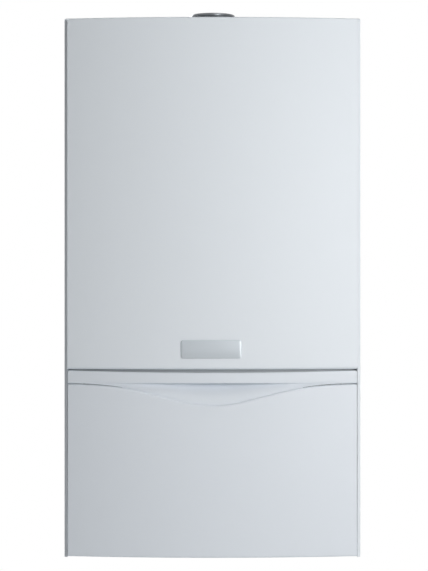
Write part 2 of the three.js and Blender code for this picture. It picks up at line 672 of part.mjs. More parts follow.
// Band across the front over a scooped recess that follows the flap's wave, with an upstand behind
// the upper front's rolled edge.
// The section is drawn at the middle; away from it the scoop shrinks with the wave.
function gripTrim() {
  const t = TRIM_WALL;
  const rows = 8;
  const half = BOW_HALF - FLAP_SIDE_GAP;
  const shares = Array.from({ length: rows }, (_, i) => (i + 1) / rows);
  const slope = (behind) => shares.map((down) => [
    RECESS_DEPTH * scoop(down) + behind, BAND_BOTTOM - WAVE_DEPTH * down]);
  const chamfer = t / 3;
  const upstand = ROLL_DEPTH + RUNNING;
  const upstandTop = COVER_BOTTOM + UPSTAND_LAP;
  const outline = [
    ...slope(t).reverse(), [RECESS_DEPTH + t, BAND_BOTTOM + t], [t, BAND_BOTTOM + t], [t, BAND_TOP - t],
    [upstand + t, BAND_TOP - t], [upstand + t, upstandTop], [upstand, upstandTop], [upstand, BAND_TOP],
    [chamfer, BAND_TOP], [0, BAND_TOP - chamfer],
    [0, BAND_BOTTOM], [RECESS_DEPTH, BAND_BOTTOM], ...slope(0)];
  const section = new THREE.Shape(outline.map(([inward, height]) => new THREE.Vector2(inward, height)));
  const skin = reshape(acrossFront(section, half), (point) => {
    const share = waveAt(point.x) / WAVE_DEPTH;
    const down = (BAND_BOTTOM - point.z) / WAVE_DEPTH;
    const lift = point.z - BAND_BOTTOM;
    let inward = point.y + CASING_DEPTH;
    if (down > TINY) {
      inward -= (1 - share) * RECESS_DEPTH * scoop(down);
      point.z = BAND_BOTTOM - down * WAVE_DEPTH * share;
    } else if (lift < TINY) inward *= share;
    else if (lift < t + TINY) inward = t + share * (inward - t);
    else point.z -= BAND_DIP * (1 - (point.x / BOW_HALF) ** 2);
    point.y = inward - CASING_DEPTH - bowAt(point.x);
  });
  const end = block(half - TRIM_END_WIDTH, half, HEM_FACE + GAP, CASING_DEPTH - t / 2, BAND_BOTTOM + t,
    BAND_TOP - 2 * t);
  return join(skin, end, mirrored(end));
}

// Depth of the scoop as a share of its deepest, from its top (0) to its lower rim (1):
// a straight slope that eases into the rim.
function scoop(down) {
  const run = (1 + SCOOP_EASE) / 2;
  if (down < SCOOP_EASE) return (run - down) / run;
  return (1 - down) ** 2 / (2 * run * (1 - SCOOP_EASE));
}

function badgePlate() {
  const lift = PLATE_THICKNESS + GAP;
  const half = PLATE_WIDTH / 2;
  const section = rectangle(-lift, -GAP, PLATE_LEVEL - PLATE_HEIGHT / 2, PLATE_LEVEL + PLATE_HEIGHT / 2);
  const settings = { depth: PLATE_WIDTH, steps: 8, bevelEnabled: false };
  const turn = new THREE.Matrix4().makeBasis(
    new THREE.Vector3(0, 1, 0), new THREE.Vector3(0, 0, 1), new THREE.Vector3(1, 0, 0));
  const plate = new THREE.ExtrudeGeometry(section, settings).translate(0, 0, PLATE_OFFSET - half);
  return bowed(plate.applyMatrix4(turn).translate(0, -CASING_DEPTH, 0));
}

// Flap: a bowed face with its top and bottom edges folded in, and a boss at each end for a hinge pin.
function frontFlap() {
  const t = FLAP_WALL;
  const half = BOW_HALF - FLAP_SIDE_GAP;
  const chamfer = t / 2;
  const outline = [
    [chamfer, FLAP_BOTTOM], [FLAP_RETURN, FLAP_BOTTOM], [FLAP_RETURN, FLAP_BOTTOM + t], [t, FLAP_BOTTOM + t],
    [t, FLAP_TOP - t], [FLAP_RETURN, FLAP_TOP - t], [FLAP_RETURN, FLAP_TOP], [chamfer, FLAP_TOP],
    [0, FLAP_TOP - chamfer], [0, FLAP_BOTTOM + chamfer]];
  const section = new THREE.Shape(outline.map(([inward, height]) => new THREE.Vector2(inward, height)));
  const skin = reshape(acrossFront(section, half), (point) => {
    if (point.z > FLAP_TOP - 2 * t) point.z -= waveAt(point.x);
    point.y -= bowAt(point.x);
  });
  const boss = rod('x', HINGE_BOSS_RADIUS, half - HINGE_BOSS_LENGTH, half)
    .translate(0, -HINGE_DEPTH, HINGE_HEIGHT);
  const web = block(half - HINGE_BOSS_LENGTH, half, HINGE_DEPTH, CASING_DEPTH - t / 2,
    HINGE_HEIGHT - HINGE_BOSS_RADIUS, HINGE_HEIGHT + HINGE_BOSS_RADIUS);
  const bore = rod('x', HINGE_PIN_RADIUS + GAP, half - HINGE_BOSS_LENGTH - 1, half + 1)
    .translate(0, -HINGE_DEPTH, HINGE_HEIGHT);
  const whole = join(skin, boss, web, mirrored(boss), mirrored(web));
  return cut(whole, bore, mirrored(bore));
}

function buildCasing() {
  const casing = subgroup(assembly);
  add(casing, 'outer_casing', outerCasing(), 'whiteEnamel');
  add(casing, 'grip_trim', gripTrim(), 'whitePlastic');
  add(casing, 'badge_plate', badgePlate(), 'satinPlate');
  for (const [side, sign] of [['left', -1], ['right', 1]]) {
    add(casing, `casing_screw_${side}`, casingScrew(), 'polishedSteel', sign * SCREW_X, HEM_FACE,
      CASING_SCREW_HEIGHT);
  }
  const flap = subgroup(casing);
  add(flap, 'front_flap', frontFlap(), 'whiteEnamel');
  const pinStart = BOW_HALF - FLAP_SIDE_GAP - HINGE_BOSS_LENGTH;
  for (const [side, sign] of [['left', -1], ['right', 1]]) {
    const pin = rod('x', HINGE_PIN_RADIUS, pinStart, pinStart + HINGE_PIN_LENGTH - GAP, 12).scale(sign, 1, 1);
    add(flap, `flap_hinge_pin_${side}`, pin, 'polishedSteel', 0, HINGE_DEPTH, HINGE_HEIGHT);
  }
}

// ---------------------------------------------------------------- bracket and chassis

// Strip screwed to the wall, with two tongues that turn up in front of the chassis.
function hangingBracket() {
  const t = BRACKET_SHEET;
  const reach = CHASSIS_STANDOFF + CHASSIS_SHEET + RUNNING + t;
  const strip = block(-BRACKET_WIDTH / 2, BRACKET_WIDTH / 2, 0, t,
    HANG_LEVEL - BRACKET_HEIGHT / 2, HANG_LEVEL + BRACKET_HEIGHT / 2);
  const hooks = [-1, 1].flatMap((sign) => {
    const middle = (sign * HOOK_SPACING) / 2;
    const limits = [middle - HOOK_WIDTH / 2, middle + HOOK_WIDTH / 2];
    return [block(...limits, 0, reach, TONGUE_TOP - t, TONGUE_TOP),
      block(...limits, reach - t, reach, TONGUE_TOP - t, TONGUE_TOP + HOOK_TURN_UP)];
  });
  const holes = [-1.5, -0.5, 0.5, 1.5].map((step) => rod('front', BRACKET_HOLE_RADIUS, -1, t + 1, 12)
    .translate(step * BRACKET_HOLE_PITCH, 0, HANG_LEVEL - BRACKET_HEIGHT / 4));
  return cut(join(strip, ...hooks), ...holes);
}

// Side wall of the chassis: shallow beside the chamber, deep beside the controls.
function cheek() {
  const outline = new THREE.Shape();
  outline.moveTo(CHASSIS_STANDOFF, CHASSIS_FOOT);
  outline.lineTo(LOWER_CHEEK_DEPTH, CHASSIS_FOOT);
  outline.lineTo(LOWER_CHEEK_DEPTH, LOWER_CHEEK_HEIGHT - SIDE_ROOM);
  outline.lineTo(LOWER_CHEEK_DEPTH - SIDE_ROOM, LOWER_CHEEK_HEIGHT);
  outline.lineTo(CHEEK_DEPTH, LOWER_CHEEK_HEIGHT);
  outline.lineTo(CHEEK_DEPTH, CHAMBER_TOP);
  outline.lineTo(CHASSIS_STANDOFF, CHAMBER_TOP);
  outline.closePath();
  const sheet = new THREE.ExtrudeGeometry(outline, { depth: CHASSIS_SHEET, bevelEnabled: false });
  const turn = new THREE.Matrix4().makeBasis(
    new THREE.Vector3(0, -1, 0), new THREE.Vector3(0, 0, 1), new THREE.Vector3(-1, 0, 0));
  const plate = sheet.applyMatrix4(turn).translate(CHASSIS_HALF, 0, 0);
  const lug = block(CHASSIS_HALF - LUG_WIDTH, CHASSIS_HALF, LOWER_CHEEK_DEPTH - CHASSIS_SHEET,
    LOWER_CHEEK_DEPTH, CASING_SCREW_HEIGHT - LUG_HEIGHT, CASING_SCREW_HEIGHT + SCREW_RADIUS);
  const slot = block(SCREW_X - SCREW_RADIUS - RUNNING, SCREW_X + SCREW_RADIUS + RUNNING,
    LOWER_CHEEK_DEPTH - 2 * CHASSIS_SHEET, LOWER_CHEEK_DEPTH + 1,
    CASING_SCREW_HEIGHT - SCREW_RADIUS - RUNNING, CASING_SCREW_HEIGHT + LUG_HEIGHT);
  return join(plate, cut(lug, slot));
}

function chassisFrame() {
  const back = block(-CHASSIS_HALF, CHASSIS_HALF, CHASSIS_STANDOFF, CHASSIS_STANDOFF + CHASSIS_SHEET,
    CHASSIS_FOOT, CHAMBER_TOP);
  const foot = block(-BRACKET_WIDTH / 2, BRACKET_WIDTH / 2, 1, CHASSIS_STANDOFF + CHASSIS_SHEET / 2,
    CHASSIS_FOOT, CHASSIS_FOOT + CHASSIS_SHEET);
  const slots = [-1, 1].map((sign) => {
    const middle = (sign * HOOK_SPACING) / 2;
    const half = HOOK_WIDTH / 2 + PASSAGE;
    return block(middle - half, middle + half, CHASSIS_STANDOFF - 1, CHASSIS_STANDOFF + CHASSIS_SHEET + 1,
      TONGUE_TOP - HOOK_TURN_UP - BRACKET_SHEET, TONGUE_TOP + GAP);
  });
  const side = cheek();
  return join(cut(back, ...slots), foot, side, mirrored(side));
}

// Tray that closes the top; its upturned edges carry the casing's top flange.
function topPlate() {
  const t = CHASSIS_SHEET;
  const rim = CASING_HEIGHT - CASING_SHEET - GAP;
  const front = CHAMBER_FRONT + COVER_SHEET + COVER_PRESSING + 2 * GAP;
  const outer = block(-CHASSIS_HALF, CHASSIS_HALF, CHASSIS_STANDOFF, front, TOP_PLATE_LEVEL, rim);
  const inner = block(-CHASSIS_INNER, CHASSIS_INNER, CHASSIS_STANDOFF + t, front - t, TOP_PLATE_LEVEL + t,
    rim + 1);
  const hole = rod('up', FLUE_RADIUS - 2 * FLUE_WALL, TOP_PLATE_LEVEL - 1, TOP_PLATE_LEVEL + t + 1)
    .translate(0, -FLUE_DEPTH, 0);
  return cut(outer, inner, hole);
}

// Sheet at the foot with a hole for every pipe tail.
function pipeRail() {
  const t = CHASSIS_SHEET;
  const back = CHASSIS_STANDOFF + CHASSIS_SHEET + GAP;
  const half = CHASSIS_INNER - GAP;
  const shelf = block(-half, half, back, RAIL_DEPTH, RAIL_HEIGHT, RAIL_HEIGHT + t);
  const lip = block(-half, half, back, back + t, RAIL_HEIGHT, RAIL_HEIGHT + SIDE_ROOM);
  const front = block(-half, half, RAIL_DEPTH - t, RAIL_DEPTH, RAIL_HEIGHT, RAIL_HEIGHT + SIDE_ROOM);
  const holes = pipeTails().map(({ x, depth, radius }) => rod('up', radius + PASSAGE, RAIL_HEIGHT - 1,
    RAIL_HEIGHT + t + 1).translate(x, -depth, 0));
  return cut(join(shelf, lip, front), ...holes);
}

function buildChassis() {
  const chassis = subgroup(assembly);
  add(chassis, 'hanging_bracket', hangingBracket(), 'galvanised');
  add(chassis, 'chassis_frame', chassisFrame(), 'galvanised');
  add(chassis, 'top_plate', topPlate(), 'galvanised');
  add(chassis, 'pipe_rail', pipeRail(), 'galvanised');
}

// ---------------------------------------------------------------- sealed chamber

// Sheet box, open to the front and closed above by the top plate.
function chamberShell() {
  const t = CHAMBER_SHEET;
  const outer = block(-CHAMBER_HALF, CHAMBER_HALF, CHAMBER_BACK, CHAMBER_FRONT, CHAMBER_FLOOR, CHAMBER_TOP);
  const inner = block(-CHAMBER_HALF + t, CHAMBER_HALF - t, CHAMBER_BACK + t, CHAMBER_FRONT + 1,
    CHAMBER_FLOOR + t, CHAMBER_TOP + 1);
  const hole = (radius, x, depth) => rod('up', radius + PASSAGE, CHAMBER_FLOOR - 1, CHAMBER_FLOOR + t + 1)
    .translate(x, -depth, 0);
  const holes = [-1, 1].map((sign) => hole(PRIMARY_PIPE_RADIUS, sign * PRIMARY_X, HEARTH_DEPTH));
  const gasHole = hole(MANIFOLD_SIZE / 2, GAS_X, MANIFOLD_LEG_DEPTH);
  return cut(outer, inner, gasHole, ...holes);
}

// Front sheet with a pressed-out field.
function chamberFrontCover() {
  const back = CHAMBER_FRONT + GAP;
  const front = back + COVER_SHEET;
  const margin = 2 * SIDE_ROOM;
  const sheet = block(-CHAMBER_HALF, CHAMBER_HALF, back, front, CHAMBER_FLOOR, CHAMBER_TOP);
  const field = block(-CHAMBER_HALF + margin, CHAMBER_HALF - margin, back, front + COVER_PRESSING,
    CHAMBER_FLOOR + margin, CHAMBER_TOP - margin);
  const inset = margin + COVER_SHEET;
  const hollow = block(-CHAMBER_HALF + inset, CHAMBER_HALF - inset, back - 1,
    front + COVER_PRESSING - COVER_SHEET, CHAMBER_FLOOR + inset, CHAMBER_TOP - inset);
  return cut(join(sheet, field), hollow);
}

// Ring that stands on the top plate, with a flange below and a bead round its mouth.
function flueCollar() {
  const base = TOP_PLATE_LEVEL + CHASSIS_SHEET + GAP;
  const mouth = CASING_HEIGHT + FLUE_RISE;
  const bead = FLUE_RADIUS - 0.5;
  const inner = FLUE_RADIUS - FLUE_WALL;
  const flangeTop = base + FLUE_FLANGE_THICKNESS;
  const profile = [[inner, base], [FLUE_FLANGE_RADIUS, base], [FLUE_FLANGE_RADIUS, flangeTop],
    [bead, flangeTop], [bead, mouth - FLUE_WALL], [FLUE_RADIUS, mouth - FLUE_WALL],
    [FLUE_RADIUS, mouth], [inner, mouth], [inner, base]];
  return turned('up', profile, 24);
}

// A rectangular sleeve round the hearth, open above and below.
function sleeve(outerX, outerY, wall, height0, height1) {
  const outline = rectangle(-outerX, outerX, -HEARTH_DEPTH - outerY, -HEARTH_DEPTH + outerY);
  const x = outerX - wall;
  const y = outerY - wall;
  outline.holes.push(new THREE.Path(rectangle(-x, x, -HEARTH_DEPTH - y, -HEARTH_DEPTH + y).getPoints()));
  return column(outline, height0, height1);
}

function electrodeHole(radius) {
  const half = HEARTH_LENGTH / 2;
  return rod('front', radius, HEARTH_DEPTH + half - 2 * LINING, HEARTH_DEPTH + half + 1, 12)
    .translate(ELECTRODE_OFFSET, 0, COMBUSTION_BOTTOM + ELECTRODE_RISE);
}

function combustionChamber() {
  const box = sleeve(HEARTH_WIDTH / 2, HEARTH_LENGTH / 2, COMBUSTION_SHEET, COMBUSTION_BOTTOM,
    COMBUSTION_BOTTOM + COMBUSTION_HEIGHT);
  return cut(box, electrodeHole(ELECTRODE_RADIUS + GAP));
}

function insulationLining() {
  const inset = COMBUSTION_SHEET + GAP;
  const lining = sleeve(HEARTH_WIDTH / 2 - inset, HEARTH_LENGTH / 2 - inset, LINING, COMBUSTION_BOTTOM + 1,
    COMBUSTION_BOTTOM + COMBUSTION_HEIGHT - 1);
  return cut(lining, electrodeHole(ELECTRODE_RADIUS + GAP));
}

function ignitionElectrode() {
  const flange = HEARTH_DEPTH + HEARTH_LENGTH / 2 + GAP;
  const tip = HEARTH_DEPTH + HEARTH_LENGTH / 6;
  const shoulder = flange - 2 * LINING;
  const tail = flange + ELECTRODE_TAIL;
  const profile = [[0, tip], [ELECTRODE_WIRE_RADIUS, tip], [ELECTRODE_WIRE_RADIUS, shoulder],
    [ELECTRODE_RADIUS, shoulder], [ELECTRODE_RADIUS, flange], [2 * ELECTRODE_RADIUS, flange],
    [2 * ELECTRODE_RADIUS, flange + 2], [ELECTRODE_RADIUS, flange + 2], [ELECTRODE_RADIUS, tail], [0, tail]];
  return turned('front', profile, 12).translate(ELECTRODE_OFFSET, 0, COMBUSTION_BOTTOM + ELECTRODE_RISE);
}

// Fins between two side sheets, on three tubes whose ends stand out left and right.
function mainHeatExchanger() {
  const top = EXCHANGER_BOTTOM + EXCHANGER_HEIGHT;
  const jacket = sleeve(HEARTH_WIDTH / 2, HEARTH_LENGTH / 2, EXCHANGER_SHEET, EXCHANGER_BOTTOM, top);
  const inner = HEARTH_WIDTH / 2 - EXCHANGER_SHEET;
  const pitch = (2 * inner) / (FIN_COUNT + 1);
  const halfLength = HEARTH_LENGTH / 2 - EXCHANGER_SHEET / 2;
  const fins = Array.from({ length: FIN_COUNT }, (_, i) => {
    const x = -inner + (i + 1) * pitch;
    return block(x - FIN_THICKNESS / 2, x + FIN_THICKNESS / 2, HEARTH_DEPTH - halfLength,
      HEARTH_DEPTH + halfLength, EXCHANGER_BOTTOM + FIN_INSET, top - FIN_INSET);
  });
  const reach = HEARTH_WIDTH / 2 + EXCHANGER_TUBE_OVERHANG;
  const tubes = [-1, 0, 1].map((row) => rod('x', EXCHANGER_TUBE_RADIUS, -reach, reach, 6)
    .translate(0, -HEARTH_DEPTH + row * EXCHANGER_TUBE_PITCH, EXCHANGER_TUBE_LEVEL));
  const links = [[-1, -1], [1, 1]].map(([sign, row]) => block(
    sign > 0 ? reach - LINK_WIDTH : -reach, sign > 0 ? reach : LINK_WIDTH - reach,
    HEARTH_DEPTH + (row > 0 ? 0 : -EXCHANGER_TUBE_PITCH), HEARTH_DEPTH + (row > 0 ? EXCHANGER_TUBE_PITCH : 0),
    EXCHANGER_TUBE_LEVEL - EXCHANGER_TUBE_RADIUS / 2, EXCHANGER_TUBE_LEVEL + EXCHANGER_TUBE_RADIUS / 2));
  return join(jacket, ...fins, ...tubes, ...links);
}

// Burner bars run front to back and are held by a rail at each end.
function burnerBars() {
  const length = HEARTH_LENGTH / 2 - LINING;
  const top = BURNER_BOTTOM + BURNER_HEIGHT;
  const bars = Array.from({ length: BURNER_BAR_COUNT }, (_, i) => {
    const x = (i + 0.5) * BURNER_PITCH - BURNER_HALF;
    return block(x - BURNER_BAR_WIDTH / 2, x + BURNER_BAR_WIDTH / 2, HEARTH_DEPTH - length,
      HEARTH_DEPTH + length, BURNER_BOTTOM, top);
  });
  const rails = [-1, 1].map((sign) => {
    const depth = HEARTH_DEPTH + sign * (length - BURNER_RAIL_INSET);
    return block(-HEARTH_WIDTH / 2, HEARTH_WIDTH / 2, depth - BURNER_RAIL_SHEET / 2,
      depth + BURNER_RAIL_SHEET / 2, BURNER_BOTTOM + BURNER_RAIL_LIFT,
      BURNER_BOTTOM + BURNER_RAIL_LIFT + BURNER_RAIL_HEIGHT);
  });
  return join(...bars, ...rails);
}

// Bar with a jet in front of every burner bar, and a leg down through the chamber's floor.
function gasManifold() {
  const burnerBack = HEARTH_DEPTH - HEARTH_LENGTH / 2 + LINING;
  const front = MANIFOLD_DEPTH + MANIFOLD_SIZE / 2;
  const bar = block(-BURNER_HALF, BURNER_HALF, CHAMBER_BACK + CHAMBER_SHEET + GAP, front,
    MANIFOLD_LEVEL - MANIFOLD_SIZE / 2, MANIFOLD_LEVEL + MANIFOLD_SIZE / 2);
  const jets = Array.from({ length: BURNER_BAR_COUNT }, (_, i) => rod('front', JET_RADIUS, front - 1,
    burnerBack - JET_CLEARANCE, 6).translate((i + 0.5) * BURNER_PITCH - BURNER_HALF, 0, MANIFOLD_LEVEL));
  const leg = rod('up', MANIFOLD_SIZE / 2, GAS_VALVE_OUTLET + GAP, MANIFOLD_LEVEL, 12)
    .translate(GAS_X, -MANIFOLD_LEG_DEPTH, 0);
  return join(bar, leg, ...jets);
}

// Pyramid over the heat exchanger with a rear duct that reaches up to the fan's inlet.
function flueHood() {
  const t = HOOD_SHEET;
  const top = HOOD_TOP;
  const ductTop = FAN_LEVEL + FAN_INLET_RADIUS + 3 * t;
  const back = HEARTH_DEPTH - HEARTH_LENGTH / 2;
  const half = FAN_INLET_RADIUS + 3 * t;
  const duct = (wall) => {
    const outline = new THREE.Shape();
    const rear = back - 4 * LINING / 3 + wall;
    outline.moveTo(rear, HOOD_BOTTOM + wall);
    outline.lineTo(HEARTH_DEPTH, HOOD_BOTTOM + wall);
    outline.lineTo(HEARTH_DEPTH, top - wall);
    outline.lineTo(FAN_BACK - GAP - wall, top - wall);
    outline.lineTo(FAN_BACK - GAP - wall, ductTop - wall);
    outline.lineTo(rear, ductTop - wall);
    outline.closePath();
    const width = 2 * (half - wall);
    const turn = new THREE.Matrix4().makeBasis(
      new THREE.Vector3(0, -1, 0), new THREE.Vector3(0, 0, 1), new THREE.Vector3(-1, 0, 0));
    return new THREE.ExtrudeGeometry(outline, { depth: width, bevelEnabled: false }).applyMatrix4(turn)
      .translate(FAN_OFFSET + width / 2, 0, 0);
  };
  const outer = join(pyramid(HEARTH_WIDTH, HEARTH_LENGTH, HOOD_BOTTOM, top), duct(0));
  const inner = join(pyramid(HEARTH_WIDTH - 4 * t, HEARTH_LENGTH - 4 * t, HOOD_BOTTOM - 1, top - t), duct(t));
  const inlet = rod('front', FAN_INLET_RADIUS, FAN_BACK - 3 * t, FAN_BACK + 1)
    .translate(FAN_OFFSET, 0, FAN_LEVEL);
  return cut(outer, inner, inlet);
}

// Four-sided frustum over the hearth.
function pyramid(width, length, height0, height1) {
  const diagonal = Math.SQRT1_2;
  const geometry = new THREE.CylinderGeometry(diagonal * HOOD_TAPER, diagonal, height1 - height0, 4);
  return geometry.rotateY(Math.PI / 4).rotateX(Math.PI / 2).scale(width, length, 1)
    .translate(0, -HEARTH_DEPTH, (height0 + height1) / 2);
}

// Scroll with its inlet at the back and its outlet straight up under the flue.
function fanHousing() {
  const scroll = (radius, back, front) => rod('front', radius, back, front, 24)
    .translate(FAN_OFFSET, 0, FAN_LEVEL);
  const duct = FAN_DUCT_WIDTH / 2;
  const outlet = TOP_PLATE_LEVEL - GAP;
  const outer = join(scroll(SCROLL_RADIUS, FAN_BACK, FAN_FRONT),
    block(-duct, duct, FAN_BACK, FAN_FRONT, FAN_LEVEL, outlet));
  const t = FAN_SHEET;
  const inner = join(scroll(SCROLL_RADIUS - t, FAN_BACK + t, FAN_FRONT - t),
    block(-duct + t, duct - t, FAN_BACK + t, FAN_FRONT - t, FAN_LEVEL, outlet + 1));
  const inlet = scroll(FAN_INLET_RADIUS, FAN_BACK - 1, FAN_BACK + t + 1);
  const shaftHole = scroll(SHAFT_RADIUS + RUNNING, FAN_FRONT - t - 1, FAN_FRONT + 1);
  return cut(outer, inner, inlet, shaftHole);
}

// Backplate, blades and inlet ring on a hub; the shaft runs forward along the axis from the plate.
function bladedWheel(radius, width, blades, shaftLength, bladeDepth) {
  const eye = radius - bladeDepth / 2;
  const plate = rod('front', radius, width - WHEEL_SHEET, width, 16);
  const hub = rod('front', SHAFT_RADIUS * 2, width / 3, width, 12);
  const shaft = rod('front', SHAFT_RADIUS, width - WHEEL_SHEET / 2, width + shaftLength, 12);
  const rim = [[eye, 0], [radius, 0], [radius, WHEEL_RING], [eye, WHEEL_RING], [eye, 0]];
  const ring = turned('front', rim, 16);
  const vane = block(radius - bladeDepth, radius - VANE_INSET, WHEEL_RING / 3, width - WHEEL_SHEET / 2,
    -VANE_SHEET / 2, VANE_SHEET / 2);
  const vanes = Array.from({ length: blades }, (_, i) => vane.clone().applyMatrix4(turnAboutFront(i / blades)));
  return join(plate, hub, shaft, ring, ...vanes);
}

function turnAboutFront(share) {
  return new THREE.Matrix4().makeRotationY(2 * Math.PI * share);
}

// Motor can with a flange at its back and a blind bore for the shaft.
function motorCan(radius, length, flangeRadius) {
  const bore = SHAFT_RADIUS + RUNNING;
  const boreEnd = SHAFT_REACH + MOTOR_FLANGE;
  const profile = [[bore, 0], [flangeRadius, 0], [flangeRadius, MOTOR_FLANGE], [radius, MOTOR_FLANGE],
    [radius, length - MOTOR_SHOULDER], [radius * 0.75, length], [0, length], [0, boreEnd], [bore, boreEnd],
    [bore, 0]];
  return turned('front', profile, 16);
}

function buildChamber() {
  const chamber = subgroup(assembly);
  add(chamber, 'chamber_shell', chamberShell(), 'galvanised');
  add(chamber, 'chamber_front_cover', chamberFrontCover(), 'galvanised');
  add(chamber, 'flue_collar', flueCollar(), 'polishedSteel', 0, FLUE_DEPTH);
  add(chamber, 'flue_hood', flueHood(), 'aluminium');
  add(chamber, 'fan_housing', fanHousing(), 'aluminium');
  const wheelBack = FAN_BACK + (SCROLL_WIDTH - FAN_WHEEL_WIDTH) / 2;
  const shaft = FAN_FRONT + SHAFT_REACH - wheelBack - FAN_WHEEL_WIDTH;
  const wheel = bladedWheel(FAN_WHEEL_RADIUS, FAN_WHEEL_WIDTH, FAN_BLADES, shaft, FAN_BLADE_DEPTH);
  add(chamber, 'fan_impeller', wheel, 'galvanised', FAN_OFFSET, wheelBack, FAN_LEVEL);
  const motor = motorCan(FAN_MOTOR_RADIUS, FAN_MOTOR_LENGTH, FAN_MOTOR_RADIUS + MOTOR_FLANGE_EXTRA);
  add(chamber, 'fan_motor', motor, 'blackPlastic', FAN_OFFSET, FAN_FRONT + GAP, FAN_LEVEL);
  add(chamber, 'main_heat_exchanger', mainHeatExchanger(), 'copper');
  add(chamber, 'combustion_chamber', combustionChamber(), 'galvanised');
  add(chamber, 'insulation_lining', insulationLining(), 'ceramicFibre');
  add(chamber, 'burner_bars', burnerBars(), 'polishedSteel');
  add(chamber, 'gas_manifold', gasManifold(), 'aluminium');
  add(chamber, 'ignition_electrode', ignitionElectrode(), 'ceramicFibre');
}

// ---------------------------------------------------------------- water side

function pipeTails() {
  const depth = TAIL_DEPTH;
  const large = LARGE_PIPE_RADIUS;
  const small = SMALL_PIPE_RADIUS;
  return [
    { name: 'heating_flow_pipe', x: FLOW_X, depth, radius: large, top: BLOCK_BOTTOM - GAP },
    { name: 'hot_outlet_pipe', x: HOT_X, depth, radius: small, top: PLATE_STACK_BOTTOM - GAP },
    { name: 'gas_inlet_pipe', x: GAS_X, depth, radius: large, top: GAS_PIPE_BEND_LEVEL },
    { name: 'cold_inlet_pipe', x: COLD_X, depth, radius: small, top: SENSOR_BOTTOM - GAP },
    { name: 'heating_return_pipe', x: RETURN_X, depth, radius: large, top: BLOCK_BOTTOM - GAP },
    { name: 'discharge_pipe', x: RELIEF_OFFSET, depth: DISCHARGE_DEPTH, radius: small,
      top: RELIEF_OUTLET - GAP },
  ];
}

// Straight tail with a union nut part of the way up.
function pipeTail(radius, top) {
  const inner = radius - PIPE_WALL;
  const nut = NUT_LIFT;
  const profile = [[inner, TAIL_END], [radius, TAIL_END], [radius, nut], [radius + NUT_EXTRA, nut],
    [radius + NUT_EXTRA, nut + NUT_HEIGHT], [radius, nut + NUT_HEIGHT], [radius, top], [inner, top],
    [inner, TAIL_END]];
  return turned('up', profile, 12);
}

function gasInletPipe() {
  const corners = [[GAS_X, TAIL_DEPTH, TAIL_END], [GAS_X, TAIL_DEPTH, GAS_PIPE_BEND_LEVEL],
    [GAS_X, GAS_PIPE_DEPTH, GAS_PIPE_BEND_LEVEL], [GAS_X, GAS_PIPE_DEPTH, GAS_VALVE_INLET - GAP]];
  return pipe(corners, LARGE_PIPE_RADIUS, PIPE_WALL, PRIMARY_BEND);
}

function gasValve() {
  const half = GAS_VALVE_WIDTH / 2;
  const front = GAS_VALVE_BACK + GAS_VALVE_DEPTH;
  const body = block(GAS_X - half, GAS_X + half, GAS_VALVE_BACK, front, GAS_VALVE_BOTTOM,
    GAS_VALVE_BOTTOM + GAS_VALVE_HEIGHT);
  const inlet = rod('up', LARGE_PIPE_RADIUS + PORT_WALL, GAS_VALVE_INLET, GAS_VALVE_BOTTOM + 1, 12)
    .translate(GAS_X, -GAS_PIPE_DEPTH, 0);
  const outlet = rod('up', MANIFOLD_SIZE / 2 + PORT_WALL, GAS_VALVE_OUTLET - GAS_PORT_LENGTH - 1,
    GAS_VALVE_OUTLET, 12).translate(GAS_X, -MANIFOLD_LEG_DEPTH, 0);
  const coils = [-1, 1].map((sign) => rod('front', COIL_RADIUS, front - 1, front + COIL_LENGTH, 16)
    .translate(GAS_X + (sign * half) / 2, 0, GAS_VALVE_BOTTOM + GAS_VALVE_HEIGHT / 2));
  return join(body, inlet, outlet, ...coils);
}

// Flat round vessel with a rolled seam and a port at the bottom.
function expansionVessel() {
  const half = VESSEL_THICKNESS / 2;
  const r = VESSEL_RADIUS;
  const seam = VESSEL_SEAM / 2;
  const rear = [[0, -half], [r * 0.62, -half], [r * 0.86, -half * 0.84], [r * 0.97, -half * 0.4],
    [r * 0.98, -seam], [r, -seam]];
  const profile = [...rear, ...rear.map(([radius, along]) => [radius, -along]).reverse()];
  const shell = turned('front', profile, 24).translate(0, -VESSEL_MIDDLE, VESSEL_LEVEL);
  const wall = VESSEL_SHEET;
  const hollow = turned('front', [[0, wall - half], [r * 0.62, wall - half], [r * 0.96 - wall, -seam],
    [r * 0.96 - wall, seam], [r * 0.62, half - wall], [0, half - wall]], 24)
    .translate(0, -VESSEL_MIDDLE, VESSEL_LEVEL);
  const port = rod('up', HOSE_RADIUS + PORT_WALL, HOSE_PORT_LEVEL, VESSEL_LEVEL - r * 0.85, 10)
    .translate(HOSE_OFFSET, -VESSEL_MIDDLE, 0);
  const bore = rod('up', HOSE_RADIUS - 1, HOSE_PORT_LEVEL - 1, VESSEL_LEVEL - r * 0.7, 8)
    .translate(HOSE_OFFSET, -VESSEL_MIDDLE, 0);
  return cut(join(shell, port), hollow, bore);
}

function expansionHose() {
  const end = OUTLET_BLOCK_LEFT + HOSE_RADIUS * 2.5;
  const endDepth = TAIL_DEPTH - OUTLET_BLOCK_DEPTH / 2 + HOSE_RADIUS * 2;
  const middle = (HOSE_PORT_LEVEL + OUTLET_BLOCK_TOP) / 2;
  const corners = [[HOSE_OFFSET, VESSEL_MIDDLE, HOSE_PORT_LEVEL - GAP], [HOSE_OFFSET, VESSEL_MIDDLE, middle],
    [end, endDepth, middle], [end, endDepth, OUTLET_BLOCK_TOP + GAP]];
  return pipe(corners, HOSE_RADIUS, 0, 20, 8);
}

